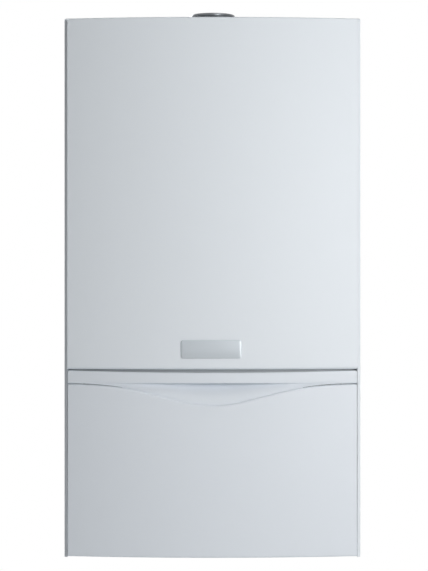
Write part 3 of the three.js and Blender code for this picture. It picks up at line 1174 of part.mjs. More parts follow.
// Brazed stack: a block with the edges of its plates standing proud.
function plateHeatExchanger() {
  const halfWidth = PLATE_STACK_WIDTH / 2;
  const halfDepth = PLATE_STACK_DEPTH / 2;
  const inset = PLATE_STACK_EDGE;
  const core = block(-halfWidth + inset, halfWidth - inset, TAIL_DEPTH - halfDepth + inset,
    TAIL_DEPTH + halfDepth - inset, PLATE_STACK_BOTTOM, PLATE_STACK_BOTTOM + PLATE_STACK_HEIGHT);
  const pitch = PLATE_STACK_HEIGHT / PLATE_STACK_RIBS;
  const ribs = Array.from({ length: PLATE_STACK_RIBS }, (_, i) => {
    const height = PLATE_STACK_BOTTOM + (i + 0.25) * pitch;
    return block(-halfWidth, halfWidth, TAIL_DEPTH - halfDepth, TAIL_DEPTH + halfDepth, height,
      height + pitch / 2);
  });
  return join(core, ...ribs);
}

// Side ports that join the valve body and the pump to the ends of the plate stack.
function stackPort(fromX) {
  const face = Math.sign(fromX) * (PLATE_STACK_WIDTH / 2 + GAP);
  return rod('x', PORT_RADIUS, Math.min(fromX, face), Math.max(fromX, face), 12)
    .translate(0, -TAIL_DEPTH, PLATE_STACK_BOTTOM + PLATE_STACK_HEIGHT / 2);
}

function diverterValveBody() {
  const barrel = rod('up', DIVERTER_RADIUS, BLOCK_BOTTOM, BLOCK_TOP - 8).translate(FLOW_X, -TAIL_DEPTH, 0);
  const topPort = rod('up', PORT_RADIUS, BLOCK_TOP - 10, BLOCK_TOP, 12).translate(FLOW_X, -TAIL_DEPTH, 0);
  const front = rod('front', PORT_RADIUS + 1, TAIL_DEPTH, DIVERTER_NECK)
    .translate(FLOW_X, 0, DIVERTER_HEAD_LEVEL);
  const bore = rod('front', STEM_RADIUS + RUNNING, DIVERTER_NECK - STEM_BORE_DEPTH,
    DIVERTER_NECK + 1, 12)
    .translate(FLOW_X, 0, DIVERTER_HEAD_LEVEL);
  return cut(join(barrel, topPort, front, stackPort(FLOW_X)), bore);
}

// Actuator head: a box with a blind bore at its back for the stem.
function diverterMotor() {
  const half = DIVERTER_HEAD_WIDTH / 2;
  const tall = DIVERTER_HEAD_HEIGHT / 2;
  const head = block(-half, half, 0, DIVERTER_HEAD_LENGTH, -tall, tall);
  const cap = block(-half + HEAD_CAP_INSET, half - HEAD_CAP_INSET, DIVERTER_HEAD_LENGTH - 1,
    DIVERTER_HEAD_LENGTH + HEAD_CAP_DEPTH, -tall + HEAD_CAP_INSET, tall - HEAD_CAP_INSET);
  return cut(join(head, cap), rod('front', STEM_RADIUS + RUNNING, -1, STEM_BORE_DEPTH, 12));
}

// Volute with ports below and to the plate stack, and the outlet block on top of it.
function pumpBody() {
  const front = PUMP_BACK + PUMP_BODY_LENGTH;
  const volute = rod('front', PUMP_RADIUS, PUMP_BACK, front, 24).translate(RETURN_X, 0, PUMP_LEVEL);
  const leg = rod('up', PORT_RADIUS + 2, BLOCK_BOTTOM, PUMP_LEVEL - PUMP_WHEEL_RADIUS)
    .translate(RETURN_X, -TAIL_DEPTH, 0);
  const outlet = block(OUTLET_BLOCK_LEFT, OUTLET_BLOCK_LEFT + OUTLET_BLOCK_WIDTH,
    TAIL_DEPTH - OUTLET_BLOCK_DEPTH / 2, TAIL_DEPTH + OUTLET_BLOCK_DEPTH / 2,
    OUTLET_BLOCK_BOTTOM - OUTLET_BLOCK_SINK, OUTLET_BLOCK_TOP);
  const topPort = rod('up', PORT_RADIUS, OUTLET_BLOCK_TOP - 1, PUMP_PORT_TOP, 12)
    .translate(RETURN_X, -TAIL_DEPTH, 0);
  const eye = rod('front', PUMP_WHEEL_RADIUS + PUMP_WHEEL_ROOM,
    front - PUMP_WHEEL_WIDTH - 2 * PUMP_WHEEL_ROOM, front + 1, 20)
    .translate(RETURN_X, 0, PUMP_LEVEL);
  return cut(join(volute, leg, stackPort(RETURN_X), outlet, topPort), eye);
}

function autoAirVent() {
  const r = VENT_RADIUS;
  const h = VENT_HEIGHT;
  const profile = [[0, 0], [r * 0.6, 0], [r * 0.6, h * 0.11], [r, h * 0.14], [r, h * 0.75],
    [r * 0.7, h * 0.82], [r * 0.4, h * 0.84], [r * 0.4, h * 0.89], [r * 0.55, h * 0.89], [r * 0.55, h],
    [0, h]];
  return turned('up', profile);
}

function reliefValveBody() {
  const back = TAIL_DEPTH - RELIEF_RADIUS;
  const barrel = rod('front', RELIEF_RADIUS, back, back + RELIEF_LENGTH)
    .translate(RELIEF_OFFSET, 0, RELIEF_LEVEL);
  const nipple = rod('x', RELIEF_NIPPLE_RADIUS, RELIEF_OFFSET, OUTLET_BLOCK_LEFT - GAP, 12)
    .translate(0, -TAIL_DEPTH, RELIEF_LEVEL);
  const outlet = rod('up', SMALL_PIPE_RADIUS + PORT_WALL, RELIEF_OUTLET, RELIEF_LEVEL, 12)
    .translate(RELIEF_OFFSET, -DISCHARGE_DEPTH, 0);
  return join(barrel, nipple, outlet);
}

// Ribbed cap that is turned by hand.
function reliefValveKnob() {
  const core = rod('front', RELIEF_KNOB_RADIUS - RIB_HEIGHT, 0, RELIEF_KNOB_LENGTH);
  const half = RIB_WIDTH / 2;
  const rib = block(0, RELIEF_KNOB_RADIUS, 2 * RIB_HEIGHT, RELIEF_KNOB_LENGTH - 1, -half, half);
  const turns = Array.from({ length: RIB_COUNT }, (_, i) => turnAboutFront(i / RIB_COUNT));
  const ribs = turns.map((turn) => rib.clone().applyMatrix4(turn));
  return join(core, ...ribs);
}

function flowSensorBody() {
  const bore = SMALL_PIPE_RADIUS - PIPE_WALL;
  const top = PLATE_STACK_BOTTOM - GAP;
  const r = SENSOR_RADIUS;
  const waist = r - PORT_WALL;
  const neck = SENSOR_COLLAR + 2;
  const profile = [[bore, SENSOR_BOTTOM], [r, SENSOR_BOTTOM], [r, SENSOR_BOTTOM + SENSOR_COLLAR],
    [waist, SENSOR_BOTTOM + neck], [waist, top - neck], [r, top - SENSOR_COLLAR], [r, top], [bore, top],
    [bore, SENSOR_BOTTOM]];
  return turned('up', profile);
}

// Four thin vanes on a spindle.
function flowTurbine() {
  const spindle = rod('up', TURBINE_SPINDLE_RADIUS, -2, TURBINE_LENGTH + 2, 8);
  const half = TURBINE_VANE / 2;
  const vanes = [0, 1].map((i) => block(-TURBINE_RADIUS, TURBINE_RADIUS, -half, half, 0, TURBINE_LENGTH)
    .applyMatrix4(new THREE.Matrix4().makeRotationZ((Math.PI * i) / 2)));
  return join(spindle, ...vanes);
}

// Riser between a hydraulic port below and the end of the heat exchanger's tube inside the chamber.
function primaryPipe(x, depthStep, bottom) {
  const side = Math.sign(x);
  const end = side * (HEARTH_WIDTH / 2 + EXCHANGER_TUBE_OVERHANG + GAP);
  const crossing = (bottom + CHAMBER_FLOOR) / 2;
  const depth = HEARTH_DEPTH + depthStep;
  const corners = [[x, TAIL_DEPTH, bottom], [x, TAIL_DEPTH, crossing - PRIMARY_BEND],
    [side * PRIMARY_X, HEARTH_DEPTH, crossing + PRIMARY_BEND],
    [side * PRIMARY_X, HEARTH_DEPTH, EXCHANGER_BOTTOM - 2 * PRIMARY_BEND],
    [side * PRIMARY_X, depth, EXCHANGER_BOTTOM - PRIMARY_BEND / 2],
    [side * PRIMARY_X, depth, EXCHANGER_TUBE_LEVEL], [end, depth, EXCHANGER_TUBE_LEVEL]];
  return pipe(corners, PRIMARY_PIPE_RADIUS, PIPE_WALL, PRIMARY_BEND * 0.75, 8);
}

function buildWaterSide() {
  const water = subgroup(assembly);
  for (const tail of pipeTails()) {
    const geometry = tail.name === 'gas_inlet_pipe' ? gasInletPipe() : pipeTail(tail.radius, tail.top);
    if (tail.name === 'gas_inlet_pipe') add(water, tail.name, geometry, 'brass');
    else add(water, tail.name, geometry, 'copper', tail.x, tail.depth);
  }
  add(water, 'expansion_vessel', expansionVessel(), 'vesselRed');
  add(water, 'expansion_hose', expansionHose(), 'copper');
  add(water, 'plate_heat_exchanger', plateHeatExchanger(), 'polishedSteel');
  add(water, 'diverter_valve_body', diverterValveBody(), 'brass');
  add(water, 'diverter_motor', diverterMotor(), 'whitePlastic', FLOW_X, DIVERTER_NECK + GAP,
    DIVERTER_HEAD_LEVEL);
  add(water, 'diverter_stem', rod('front', STEM_RADIUS, 0, STEM_LENGTH, 12), 'brass', FLOW_X,
    DIVERTER_NECK - STEM_LENGTH * 0.6, DIVERTER_HEAD_LEVEL);
  add(water, 'pump_body', pumpBody(), 'castIron');
  const motorBack = PUMP_BACK + PUMP_BODY_LENGTH + GAP;
  const motor = motorCan(PUMP_MOTOR_RADIUS, PUMP_MOTOR_LENGTH, PUMP_RADIUS);
  add(water, 'pump_motor', motor, 'blackPlastic', RETURN_X, motorBack, PUMP_LEVEL);
  const wheelBack = motorBack - GAP - PUMP_WHEEL_WIDTH - 2;
  const wheel = bladedWheel(PUMP_WHEEL_RADIUS, PUMP_WHEEL_WIDTH, PUMP_BLADES, SHAFT_REACH, PUMP_BLADE_DEPTH);
  add(water, 'pump_impeller', wheel, 'blackPlastic', RETURN_X, wheelBack, PUMP_LEVEL);
  add(water, 'auto_air_vent', autoAirVent(), 'brass', RETURN_X + VENT_OFFSET, TAIL_DEPTH,
    OUTLET_BLOCK_TOP + GAP);
  add(water, 'relief_valve_body', reliefValveBody(), 'brass');
  add(water, 'relief_valve_knob', reliefValveKnob(), 'redPlastic', RELIEF_OFFSET,
    TAIL_DEPTH - RELIEF_RADIUS + RELIEF_LENGTH + GAP, RELIEF_LEVEL);
  add(water, 'flow_sensor_body', flowSensorBody(), 'blackPlastic', COLD_X, TAIL_DEPTH);
  const turbineFoot = (SENSOR_BOTTOM + PLATE_STACK_BOTTOM - TURBINE_LENGTH) / 2;
  add(water, 'flow_turbine', flowTurbine(), 'whitePlastic', COLD_X, TAIL_DEPTH, turbineFoot);
  add(water, 'primary_flow_pipe', primaryPipe(FLOW_X, -EXCHANGER_TUBE_PITCH, BLOCK_TOP + GAP), 'copper');
  add(water, 'primary_return_pipe', primaryPipe(RETURN_X, EXCHANGER_TUBE_PITCH, PUMP_PORT_TOP + GAP),
    'copper');
  add(water, 'gas_valve', gasValve(), 'aluminium');
}

// ---------------------------------------------------------------- controls

// Tray open to the front, with an arm at each side that bears on the chassis.
function controlBox() {
  const top = BOX_BOTTOM + BOX_HEIGHT;
  const outer = block(-BOX_HALF, BOX_HALF, BOX_BACK, BOX_FRONT, BOX_BOTTOM, top);
  const inner = block(-BOX_HALF + BOX_WALL, BOX_HALF - BOX_WALL, BOX_BACK + BOX_WALL, BOX_FRONT + 1,
    BOX_BOTTOM + BOX_WALL, top - BOX_WALL);
  const arms = [BOX_BOTTOM + BOX_HEIGHT * 0.15, BOX_BOTTOM + BOX_HEIGHT * 0.85].map((height) =>
    rod('x', ARM_RADIUS, BOX_HALF - 1, CHASSIS_INNER - GAP, 12).translate(0, -BOX_MIDDLE, height));
  const glandHole = rod('up', GLAND_RADIUS * 0.7 + GAP, BOX_BOTTOM - 1, BOX_BOTTOM + BOX_WALL + 1, 12)
    .translate(GLAND_X, -BOX_MIDDLE, 0);
  return cut(join(cut(outer, inner), ...arms, ...arms.map(mirrored)), glandHole);
}

function roundHole(x, height, radius) {
  return rod('front', radius, FASCIA_BACK - 1, FASCIA_FRONT + 4, 20).translate(x, 0, height);
}

// Flat panel with a raised rim, cut out for every control.
function controlFascia() {
  const top = BOX_BOTTOM + BOX_HEIGHT;
  const rim = FASCIA_RIM;
  const sheet = block(-BOX_HALF, BOX_HALF, FASCIA_BACK, FASCIA_FRONT + rim, BOX_BOTTOM, top);
  const field = block(-BOX_HALF + 2 * rim, BOX_HALF - 2 * rim, FASCIA_FRONT, FASCIA_FRONT + rim + 1,
    BOX_BOTTOM + 2 * rim, top - 2 * rim);
  const opening = (x, level, halfWidth, halfHeight) => block(x - halfWidth, x + halfWidth, FASCIA_BACK - 1,
    FASCIA_FRONT + 1, level - halfHeight, level + halfHeight);
  const window = opening(WINDOW_X, UPPER_ROW, WINDOW_WIDTH / 2 + GAP, WINDOW_HEIGHT / 2 + GAP);
  const rocker = opening(ROCKER_X, LOWER_ROW, ROCKER_WIDTH / 2 + RUNNING, ROCKER_HEIGHT / 2 + 2 * RUNNING);
  return cut(sheet, field, window, rocker,
    roundHole(GAUGE_X, UPPER_ROW, GAUGE_RADIUS + GAP),
    roundHole(HEATING_KNOB_X, UPPER_ROW, KNOB_SPINDLE_RADIUS + RUNNING),
    roundHole(HOT_WATER_KNOB_X, UPPER_ROW, KNOB_SPINDLE_RADIUS + RUNNING),
    roundHole(BUTTON_X, LOWER_ROW, BUTTON_RADIUS + RUNNING));
}

// A row of like blocks that stand on the face of the circuit board.
function boardRow(count, pitch, width, from, face, depth, low, high) {
  return Array.from({ length: count }, (_, i) => block(from + i * pitch, from + i * pitch + width, face - 1,
    face + depth, low, high));
}

// Board on four posts, with its relays, transformer and a row of sockets.
function circuitBoard() {
  const back = BOX_BACK + BOX_WALL + BOARD_STANDOFF;
  const face = back + BOARD_THICKNESS;
  const low = BOX_BOTTOM + (BOX_HEIGHT - BOARD_HEIGHT) / 2;
  const high = low + BOARD_HEIGHT;
  const board = block(-BOARD_WIDTH / 2, BOARD_WIDTH / 2, back, face, low, high);
  const post = rod('front', POST_RADIUS, BOX_BACK + BOX_WALL + GAP, back + 1, 8);
  const posts = [-1, 1].flatMap((sign) => [0.1, 0.9].map((share) => post.clone()
    .translate(sign * BOARD_WIDTH * 0.46, 0, low + BOARD_HEIGHT * share)));
  const transformer = boardRow(1, 0, TRANSFORMER_WIDTH, BOARD_WIDTH * 0.25, face, TRANSFORMER_DEPTH,
    low + TRANSFORMER_INSET, low + TRANSFORMER_INSET + TRANSFORMER_HEIGHT);
  const relays = boardRow(RELAY_COUNT, RELAY_PITCH, RELAY_WIDTH, -BOARD_WIDTH * 0.4, face, RELAY_DEPTH,
    high - RELAY_INSET - RELAY_HEIGHT, high - RELAY_INSET);
  const sockets = boardRow(SOCKET_COUNT, SOCKET_PITCH, SOCKET_WIDTH, -BOARD_WIDTH * 0.3, face, SOCKET_DEPTH,
    low + SOCKET_INSET, low + SOCKET_INSET + SOCKET_HEIGHT);
  return join(board, ...transformer, ...posts, ...relays, ...sockets);
}

// Round knob with a grip bar across its face and a spindle through the fascia.
function knob() {
  const r = KNOB_RADIUS;
  const spindle = KNOB_SPINDLE_RADIUS;
  const profile = [[0, -SPINDLE_LENGTH], [spindle, -SPINDLE_LENGTH], [spindle, 0], [r, 0], [r, KNOB_SKIRT - 2],
    [r * 0.9, KNOB_SKIRT], [0, KNOB_SKIRT]];
  const bar = block(-KNOB_GRIP_HALF, KNOB_GRIP_HALF, KNOB_SKIRT - 1, KNOB_LENGTH, -r * 0.8, r * 0.85);
  return join(turned('front', profile, 24), bar);
}

// Rocker with a shallow V across its face, drawn about its pivot.
function powerRocker() {
  const half = ROCKER_WIDTH / 2;
  const tall = ROCKER_HEIGHT / 2;
  const outline = new THREE.Shape();
  const rear = -ROCKER_BACK;
  outline.moveTo(rear, -tall + 1).lineTo(ROCKER_PROUD, -tall).lineTo(ROCKER_PROUD - ROCKER_DIP, 0);
  outline.lineTo(ROCKER_PROUD, tall).lineTo(rear, tall - 1).closePath();
  const turn = new THREE.Matrix4().makeBasis(
    new THREE.Vector3(0, -1, 0), new THREE.Vector3(0, 0, 1), new THREE.Vector3(-1, 0, 0));
  return new THREE.ExtrudeGeometry(outline, { depth: ROCKER_WIDTH, bevelEnabled: false }).applyMatrix4(turn)
    .translate(half, 0, 0);
}

function resetButton() {
  const r = BUTTON_RADIUS;
  const profile = [[0, -BUTTON_STEM], [r * 0.6, -BUTTON_STEM], [r * 0.6, -FASCIA_THICKNESS],
    [r, -FASCIA_THICKNESS], [r, BUTTON_PROUD - 1], [r - 1, BUTTON_PROUD], [0, BUTTON_PROUD]];
  return turned('front', profile, 20);
}

// Can with a cup at its front for the dial, the needle and the lens.
function gaugeBody() {
  const r = GAUGE_RADIUS;
  const cup = r - GAUGE_RIM;
  const profile = [[0, -GAUGE_LENGTH], [r, -GAUGE_LENGTH], [r, GAUGE_RIM], [cup, GAUGE_RIM],
    [cup, -GAUGE_CUP], [0, -GAUGE_CUP]];
  return turned('front', profile, 28);
}

function gaugeNeedle() {
  const hub = rod('front', NEEDLE_HUB_RADIUS, RUNNING - GAUGE_CUP, NEEDLE_HUB_HEIGHT - GAUGE_CUP, 12);
  const half = NEEDLE_WIDTH / 2;
  const middle = NEEDLE_HUB_HEIGHT / 2 + GAP - GAUGE_CUP;
  const pointer = block(-half, half, middle - 0.5, middle + 0.5, -2 * NEEDLE_HUB_RADIUS, GAUGE_RADIUS * 0.72);
  return join(hub, pointer);
}

function cableGland() {
  const r = GLAND_RADIUS;
  const neck = r * 0.7;
  const shelf = BOX_BOTTOM - GAP;
  const foot = shelf - GLAND_LENGTH;
  const inside = BOX_BOTTOM + BOX_WALL + GLAND_INSIDE;
  const profile = [[GLAND_BORE, foot], [r * 0.8, foot], [r, foot + GLAND_CHAMFER], [r, shelf], [neck, shelf],
    [neck, inside], [GLAND_BORE, inside], [GLAND_BORE, foot]];
  return turned('up', profile);
}

function buildControls() {
  const controls = subgroup(assembly);
  add(controls, 'control_box', controlBox(), 'blackPlastic');
  add(controls, 'control_fascia', controlFascia(), 'greyPlastic');
  add(controls, 'circuit_board', circuitBoard(), 'circuitBoard');
  const window = new THREE.BoxGeometry(WINDOW_WIDTH, FASCIA_THICKNESS, WINDOW_HEIGHT);
  add(controls, 'display_window', window, 'clearWindow', WINDOW_X, FASCIA_BACK + FASCIA_THICKNESS / 2,
    UPPER_ROW);
  for (const [name, x] of [['heating_knob', HEATING_KNOB_X], ['hot_water_knob', HOT_WATER_KNOB_X]]) {
    add(controls, name, knob(), 'blackPlastic', x, FASCIA_FRONT + RUNNING, UPPER_ROW);
  }
  const rocker = add(controls, 'power_rocker', powerRocker(), 'blackPlastic', ROCKER_X, FASCIA_FRONT,
    LOWER_ROW);
  rocker.rotation.x = THREE.MathUtils.degToRad(-ROCKER_TILT);
  add(controls, 'reset_button', resetButton(), 'redPlastic', BUTTON_X, FASCIA_FRONT, LOWER_ROW);
  add(controls, 'gauge_body', gaugeBody(), 'blackPlastic', GAUGE_X, FASCIA_FRONT, UPPER_ROW);
  const needle = add(controls, 'gauge_needle', gaugeNeedle(), 'redPlastic', GAUGE_X, FASCIA_FRONT, UPPER_ROW);
  needle.rotation.y = THREE.MathUtils.degToRad(-GAUGE_SWEEP / 2);
  const lens = rod('front', GAUGE_RADIUS - GAUGE_RIM - GAP, 0, LENS_SHEET, 28);
  add(controls, 'gauge_lens', lens, 'clearWindow', GAUGE_X, FASCIA_FRONT, UPPER_ROW);
  add(controls, 'cable_gland', cableGland(), 'blackPlastic', GLAND_X, BOX_MIDDLE);
}

buildCasing();
buildChassis();
buildChamber();
buildWaterSide();
buildControls();

export default boiler;
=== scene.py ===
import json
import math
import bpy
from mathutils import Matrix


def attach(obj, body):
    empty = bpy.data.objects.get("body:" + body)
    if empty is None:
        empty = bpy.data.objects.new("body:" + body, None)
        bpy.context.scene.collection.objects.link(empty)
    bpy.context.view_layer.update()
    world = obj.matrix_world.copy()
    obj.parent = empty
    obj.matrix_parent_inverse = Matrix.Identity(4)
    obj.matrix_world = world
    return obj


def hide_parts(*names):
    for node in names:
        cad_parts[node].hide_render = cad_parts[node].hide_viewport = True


bl_info = {
    "name": "Combi Boiler",
    "version": (1, 0, 0),
    "blender": (4, 5, 0),
    "location": "View3D > Sidebar > Boiler",
    "description": "Dresses the packed combi boiler: casing, flap, controls, inner parts, finishes and stage",
    "category": "Object",
}

import bmesh
import bpy
from mathutils import Matrix, Vector

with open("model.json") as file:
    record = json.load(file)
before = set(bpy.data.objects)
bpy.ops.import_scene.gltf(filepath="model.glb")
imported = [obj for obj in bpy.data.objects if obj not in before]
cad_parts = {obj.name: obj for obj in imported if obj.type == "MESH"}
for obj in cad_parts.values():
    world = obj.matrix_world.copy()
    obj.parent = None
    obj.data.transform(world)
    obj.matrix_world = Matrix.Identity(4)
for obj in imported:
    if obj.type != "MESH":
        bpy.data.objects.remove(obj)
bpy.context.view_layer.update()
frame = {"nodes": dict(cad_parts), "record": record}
NODES = frame["nodes"]
SLOT_OF = {part["node"]: part["material_slot"] for part in frame["record"]["subparts"]}
BODY_OF = {node: body for body, nodes in frame["record"]["behaviour"]["bodies"].items() for node in nodes}

# ---------------------------------------------------------------- sizes in mm
# Heights are measured up from the casing's underside, depths forward from the wall.

MM = 0.001
UNDERSIDE = -735.0

CASING_WIDTH = 440.0
CASING_HEIGHT = 800.0
CASING_DEPTH = 318.0
CASING_SHEET = 1.2
WALL_GAP = 3.0
HEM_DEPTH = 16.0
HEM_WIDTH = 22.0
SWING_NOTCH = 26.0
TOP_RETURN = 25.0
ROLL_DEPTH = 12.0
FLAP_TOP = 257.8
FLAP_BOTTOM = 1.0
FLAP_WALL = 2.5
FLAP_RETURN = 10.0
FLAP_SIDE_GAP = 0.8
WAVE_SPREAD = 73.0
BAND_BOTTOM = 258.8
BAND_TOP = 276.8
BAND_DIP = 2.6
COVER_BOTTOM = 279.0
BAND_TOP_ROUND = 0.8
BAND_FOOT_ROUND = 0.5
TRIM_WALL = 2.5
UPSTAND = 12.5
# painted shade: thickness of the grey strip set in the gap above the band
GAP_SHADE_STRIP = 1.0
RIM_LAP = 0.6
RIM_DEPTH = 4.7
RIM_RUN = 0.2
RIM_TUCK = 3.0
LIP_RADIUS = 4.0
LIP_RETURN = 4.3
FLAP_FOOT_RADIUS = 3.0
# painted shade: lower edge of the grey strip in the gap above the band
GAP_SHADE_STRIP_BOTTOM = 272.0
UPSTAND_LAP = 7.0
HINGE_DEPTH = 309.0
HINGE_HEIGHT = 8.0
HINGE_BOSS_RADIUS = 5.0
HINGE_BOSS_LENGTH = 10.0
HINGE_BORE = 2.8
WEB_GAP = 0.6
WEB_ROUND = 0.8
PLATE_LEVEL = 309.0
PLATE_OFFSET = -2.0
PLATE_LIFT = 0.3
PLATE_THICKNESS = 1.1
PLATE_CORNER = 3.0
PLATE_EDGE = 0.5
FLUE_DEPTH = 160.0
FLUE_BASE = 786.5
FLUE_MOUTH = 825.0
FLUE_RADIUS = 35.0
FLUE_WALL = 2.5
FLUE_FLANGE = 48.0
FASCIA_LEVEL = 283.8
UPPER_ROW = 148.0
KNOBS = {"heating_knob": 66.0, "hot_water_knob": 134.0}
KNOB_FRONT = 298.3
KNOB_SWEEP = 270.0
GAUGE_PLACE = -134.0
GAUGE_FLOOR = 275.8
GAUGE_SWEEP = 240.0
WINDOW_MIDDLE = -32.0
WINDOW_WIDTH = 76.0
WINDOW_HEIGHT = 36.0
BEZEL = 3.0
BEZEL_GAP = 0.02
PANEL_DEPTH = 4.3
PANEL_THICKNESS = 1.6
PANEL_CORNER = 2.0
PRINT = 0.12
POINTER_TIP = 13.6
POINTER_LENGTH = 6.5
POINTER_TAPER = 1.2
POINTER_HALF = 0.9
DIAL_HOLE = 4.6
DIAL_RADIUS = 19.2
# marks of a scale: how many, from which radius, to which, and half the width of one
KNOB_MARKS = (11, 20.5, 23.5, 0.4)
GAUGE_MARKS = (16, 14.0, 16.5, 0.3)

# ---------------------------------------------------------------- counts, angles in degrees, stage in m

SQUARE = ((-1, -1), (1, -1), (1, 1), (-1, 1))
FRONT_STATIONS = 48
PLATE_STATIONS = 16
RECESS_ROWS = 18
SMOOTH_ANGLE = 40.0
FOLD_ANGLE = 30.0
FLUE_ANGLE = 50.0
AMBIENT = 0.03
FLOOR_WHITENESS = 0.8
FLOOR_HALF = 2.6
FRONT_MIDDLE = (0.0, -0.338, -0.335)
CAMERA_ASIDE = 0.0023
CAMERA_RAISE = 0.0032
SENSOR_WIDTH = 36.0


def linear(hex_colour):
    """An sRGB hex colour as linear red, green, blue and alpha."""
    parts = [int(hex_colour[i:i + 2], 16) / 255 for i in (1, 3, 5)]
    return [p / 12.92 if p <= 0.04045 else ((p + 0.055) / 1.055) ** 2.4 for p in parts] + [1.0]


# ---------------------------------------------------------------- what a user may change


class BoilerSizes(bpy.types.PropertyGroup):
    front_bow: bpy.props.FloatProperty(
        name="Front bow", description="How far the middle of the front stands out past its side edges",
        default=0.020, unit="LENGTH")
    edge_radius: bpy.props.FloatProperty(
        name="Corner fold", description="Size of the flat fold down the casing's upright front corners",
        default=0.0045, unit="LENGTH")
    top_radius: bpy.props.FloatProperty(
        name="Top radius", description="Radius of the casing's top edge", default=0.003, unit="LENGTH")
    roll_radius: bpy.props.FloatProperty(
        name="Roll radius", description="Radius of the upper front's rolled lower edge",
        default=0.005, unit="LENGTH")
    wave_depth: bpy.props.FloatProperty(
        name="Wave depth", description="Dip of the flap's top edge at the middle",
        default=0.0315, unit="LENGTH")
    recess_depth: bpy.props.FloatProperty(
        name="Recess depth", description="Depth of the finger recess above the flap",
        default=0.020, unit="LENGTH")
    plate_width: bpy.props.FloatProperty(
        name="Plate width", description="Width of the bare plate on the upper front",
        default=0.089, unit="LENGTH")
    plate_height: bpy.props.FloatProperty(
        name="Plate height", description="Height of the bare plate on the upper front",
        default=0.027, unit="LENGTH")


class BoilerColours(bpy.types.PropertyGroup):
    enamel: bpy.props.FloatVectorProperty(
        name="Casing", description="Powder coat on the casing", subtype="COLOR", size=4,
        default=linear("#E9EFF5"), min=0.0, max=1.0)
    flap: bpy.props.FloatVectorProperty(
        name="Flap", description="Moulded flap and grip trim", subtype="COLOR", size=4,
        default=linear("#E3E9F0"), min=0.0, max=1.0)
    plate: bpy.props.FloatVectorProperty(
        name="Plate", description="Satin face of the bare plate", subtype="COLOR", size=4,
        default=linear("#B9C0C6"), min=0.0, max=1.0)


class BoilerStage(bpy.types.PropertyGroup):
    key_power: bpy.props.FloatProperty(
        name="Key light", description="Power of the soft light at the front right",
        default=26.0, unit="POWER")
    fill_power: bpy.props.FloatProperty(
        name="Side light", description="Power of the weak light at the left side", default=2.5, unit="POWER")
    top_power: bpy.props.FloatProperty(
        name="Top light", description="Power of the large soft light above", default=26.0, unit="POWER")
    back_power: bpy.props.FloatProperty(
        name="Back light", description="Power of the soft light behind the wall side",
        default=70.0, unit="POWER")
    lens: bpy.props.FloatProperty(
        name="Lens", description="Focal length of the camera", default=128.2, unit="CAMERA")
    distance: bpy.props.FloatProperty(
        name="Camera distance", description="Camera to the middle of the front", default=3.0, unit="LENGTH")


def sizes():
    return bpy.context.scene.boiler_sizes


def colours():
    return bpy.context.scene.boiler_colours


# ---------------------------------------------------------------- materials


def add_node(tree, kind, settings=None, values=None, links=None):
    """Adds a node, sets its options and its sockets' values, and links its inputs from (node, output)."""
    made = tree.nodes.new(kind)
    for key, value in (settings or {}).items():
        setattr(made, key, value)
    for key, value in (values or {}).items():
        made.inputs[key].default_value = value
    for key, (source, output) in (links or {}).items():
        tree.links.new(source.outputs[output], made.inputs[key])
    return made


def new_finish(name, colour, metallic, roughness, **extra):
    """A material with its shader, and coordinates in the object's own metres."""
    material = bpy.data.materials.new(name)
    material.use_nodes = True
    tree = material.node_tree
    shader = tree.nodes["Principled BSDF"]
    shader.inputs["Base Color"].default_value = colour if not isinstance(colour, str) else linear(colour)
    shader.inputs["Metallic"].default_value = metallic
    shader.inputs["Roughness"].default_value = roughness
    for key, value in extra.items():
        shader.inputs[key.replace("_", " ").title().replace("Ior", "IOR")].default_value = value
    place = add_node(tree, "ShaderNodeTexCoord")
    return material, tree, shader, place


def grain(tree, place, size_mm, stretch=(1.0, 1.0, 1.0), detail=2.0, rough=0.5):
    """Noise whose blotches are size_mm across, stretched along the axes by the given factors."""
    mapping = add_node(tree, "ShaderNodeMapping", values={"Scale": [1.0 / s for s in stretch]},
                       links={"Vector": (place, "Object")})
    return add_node(tree, "ShaderNodeTexNoise",
                    values={"Scale": 1.0 / (size_mm * MM), "Detail": detail, "Roughness": rough},
                    links={"Vector": (mapping, "Vector")})


def bumped(tree, shader, source, height_mm, strength=1.0, output="Fac"):
    bump = add_node(tree, "ShaderNodeBump", values={"Strength": strength, "Distance": height_mm * MM},
                    links={"Height": (source, output)})
    tree.links.new(bump.outputs["Normal"], shader.inputs["Normal"])


def shaded(tree, shader, source, low, high, output="Fac", socket="Base Color", start=0.3, stop=0.7):
    """Runs a pattern between two colours, or between two roughnesses given as greys."""
    ramp = add_node(tree, "ShaderNodeValToRGB", links={"Fac": (source, output)})
    ramp.color_ramp.elements[0].position = start
    ramp.color_ramp.elements[1].position = stop
    ramp.color_ramp.elements[0].color = linear(low) if isinstance(low, str) else [low, low, low, 1.0]
    ramp.color_ramp.elements[1].color = linear(high) if isinstance(high, str) else [high, high, high, 1.0]
    tree.links.new(ramp.outputs["Color"], shader.inputs[socket])


def white_powder_coat():
    """Polyester powder coat on sheet steel: satin, with the faint orange peel of a baked coat."""
    material, tree, shader, place = new_finish("white_powder_coat", colours().enamel, 0.0, 0.5, ior=1.5,
                                               specular_ior_level=0.2)
    bumped(tree, shader, grain(tree, place, 2.2), 0.02, 0.25)
    return material


def white_moulded_abs():
    """Injection-moulded ABS: a shade duller than the coated steel, with a very fine spark texture."""
    material, tree, shader, place = new_finish("white_moulded_abs", colours().flap, 0.0, 0.5, ior=1.53,
                                               specular_ior_level=0.2)
    bumped(tree, shader, grain(tree, place, 1.2), 0.012, 0.2)
    return material


def satin_silver_plate():
    """Hot-foiled plastic plate: a fine horizontal brush under a satin silver film."""
    material, tree, shader, place = new_finish("satin_silver_plate", colours().plate, 0.35, 0.36)
    brush = grain(tree, place, 0.8, stretch=(40.0, 1.0, 1.0))
    bumped(tree, shader, brush, 0.01, 0.3)
    return material


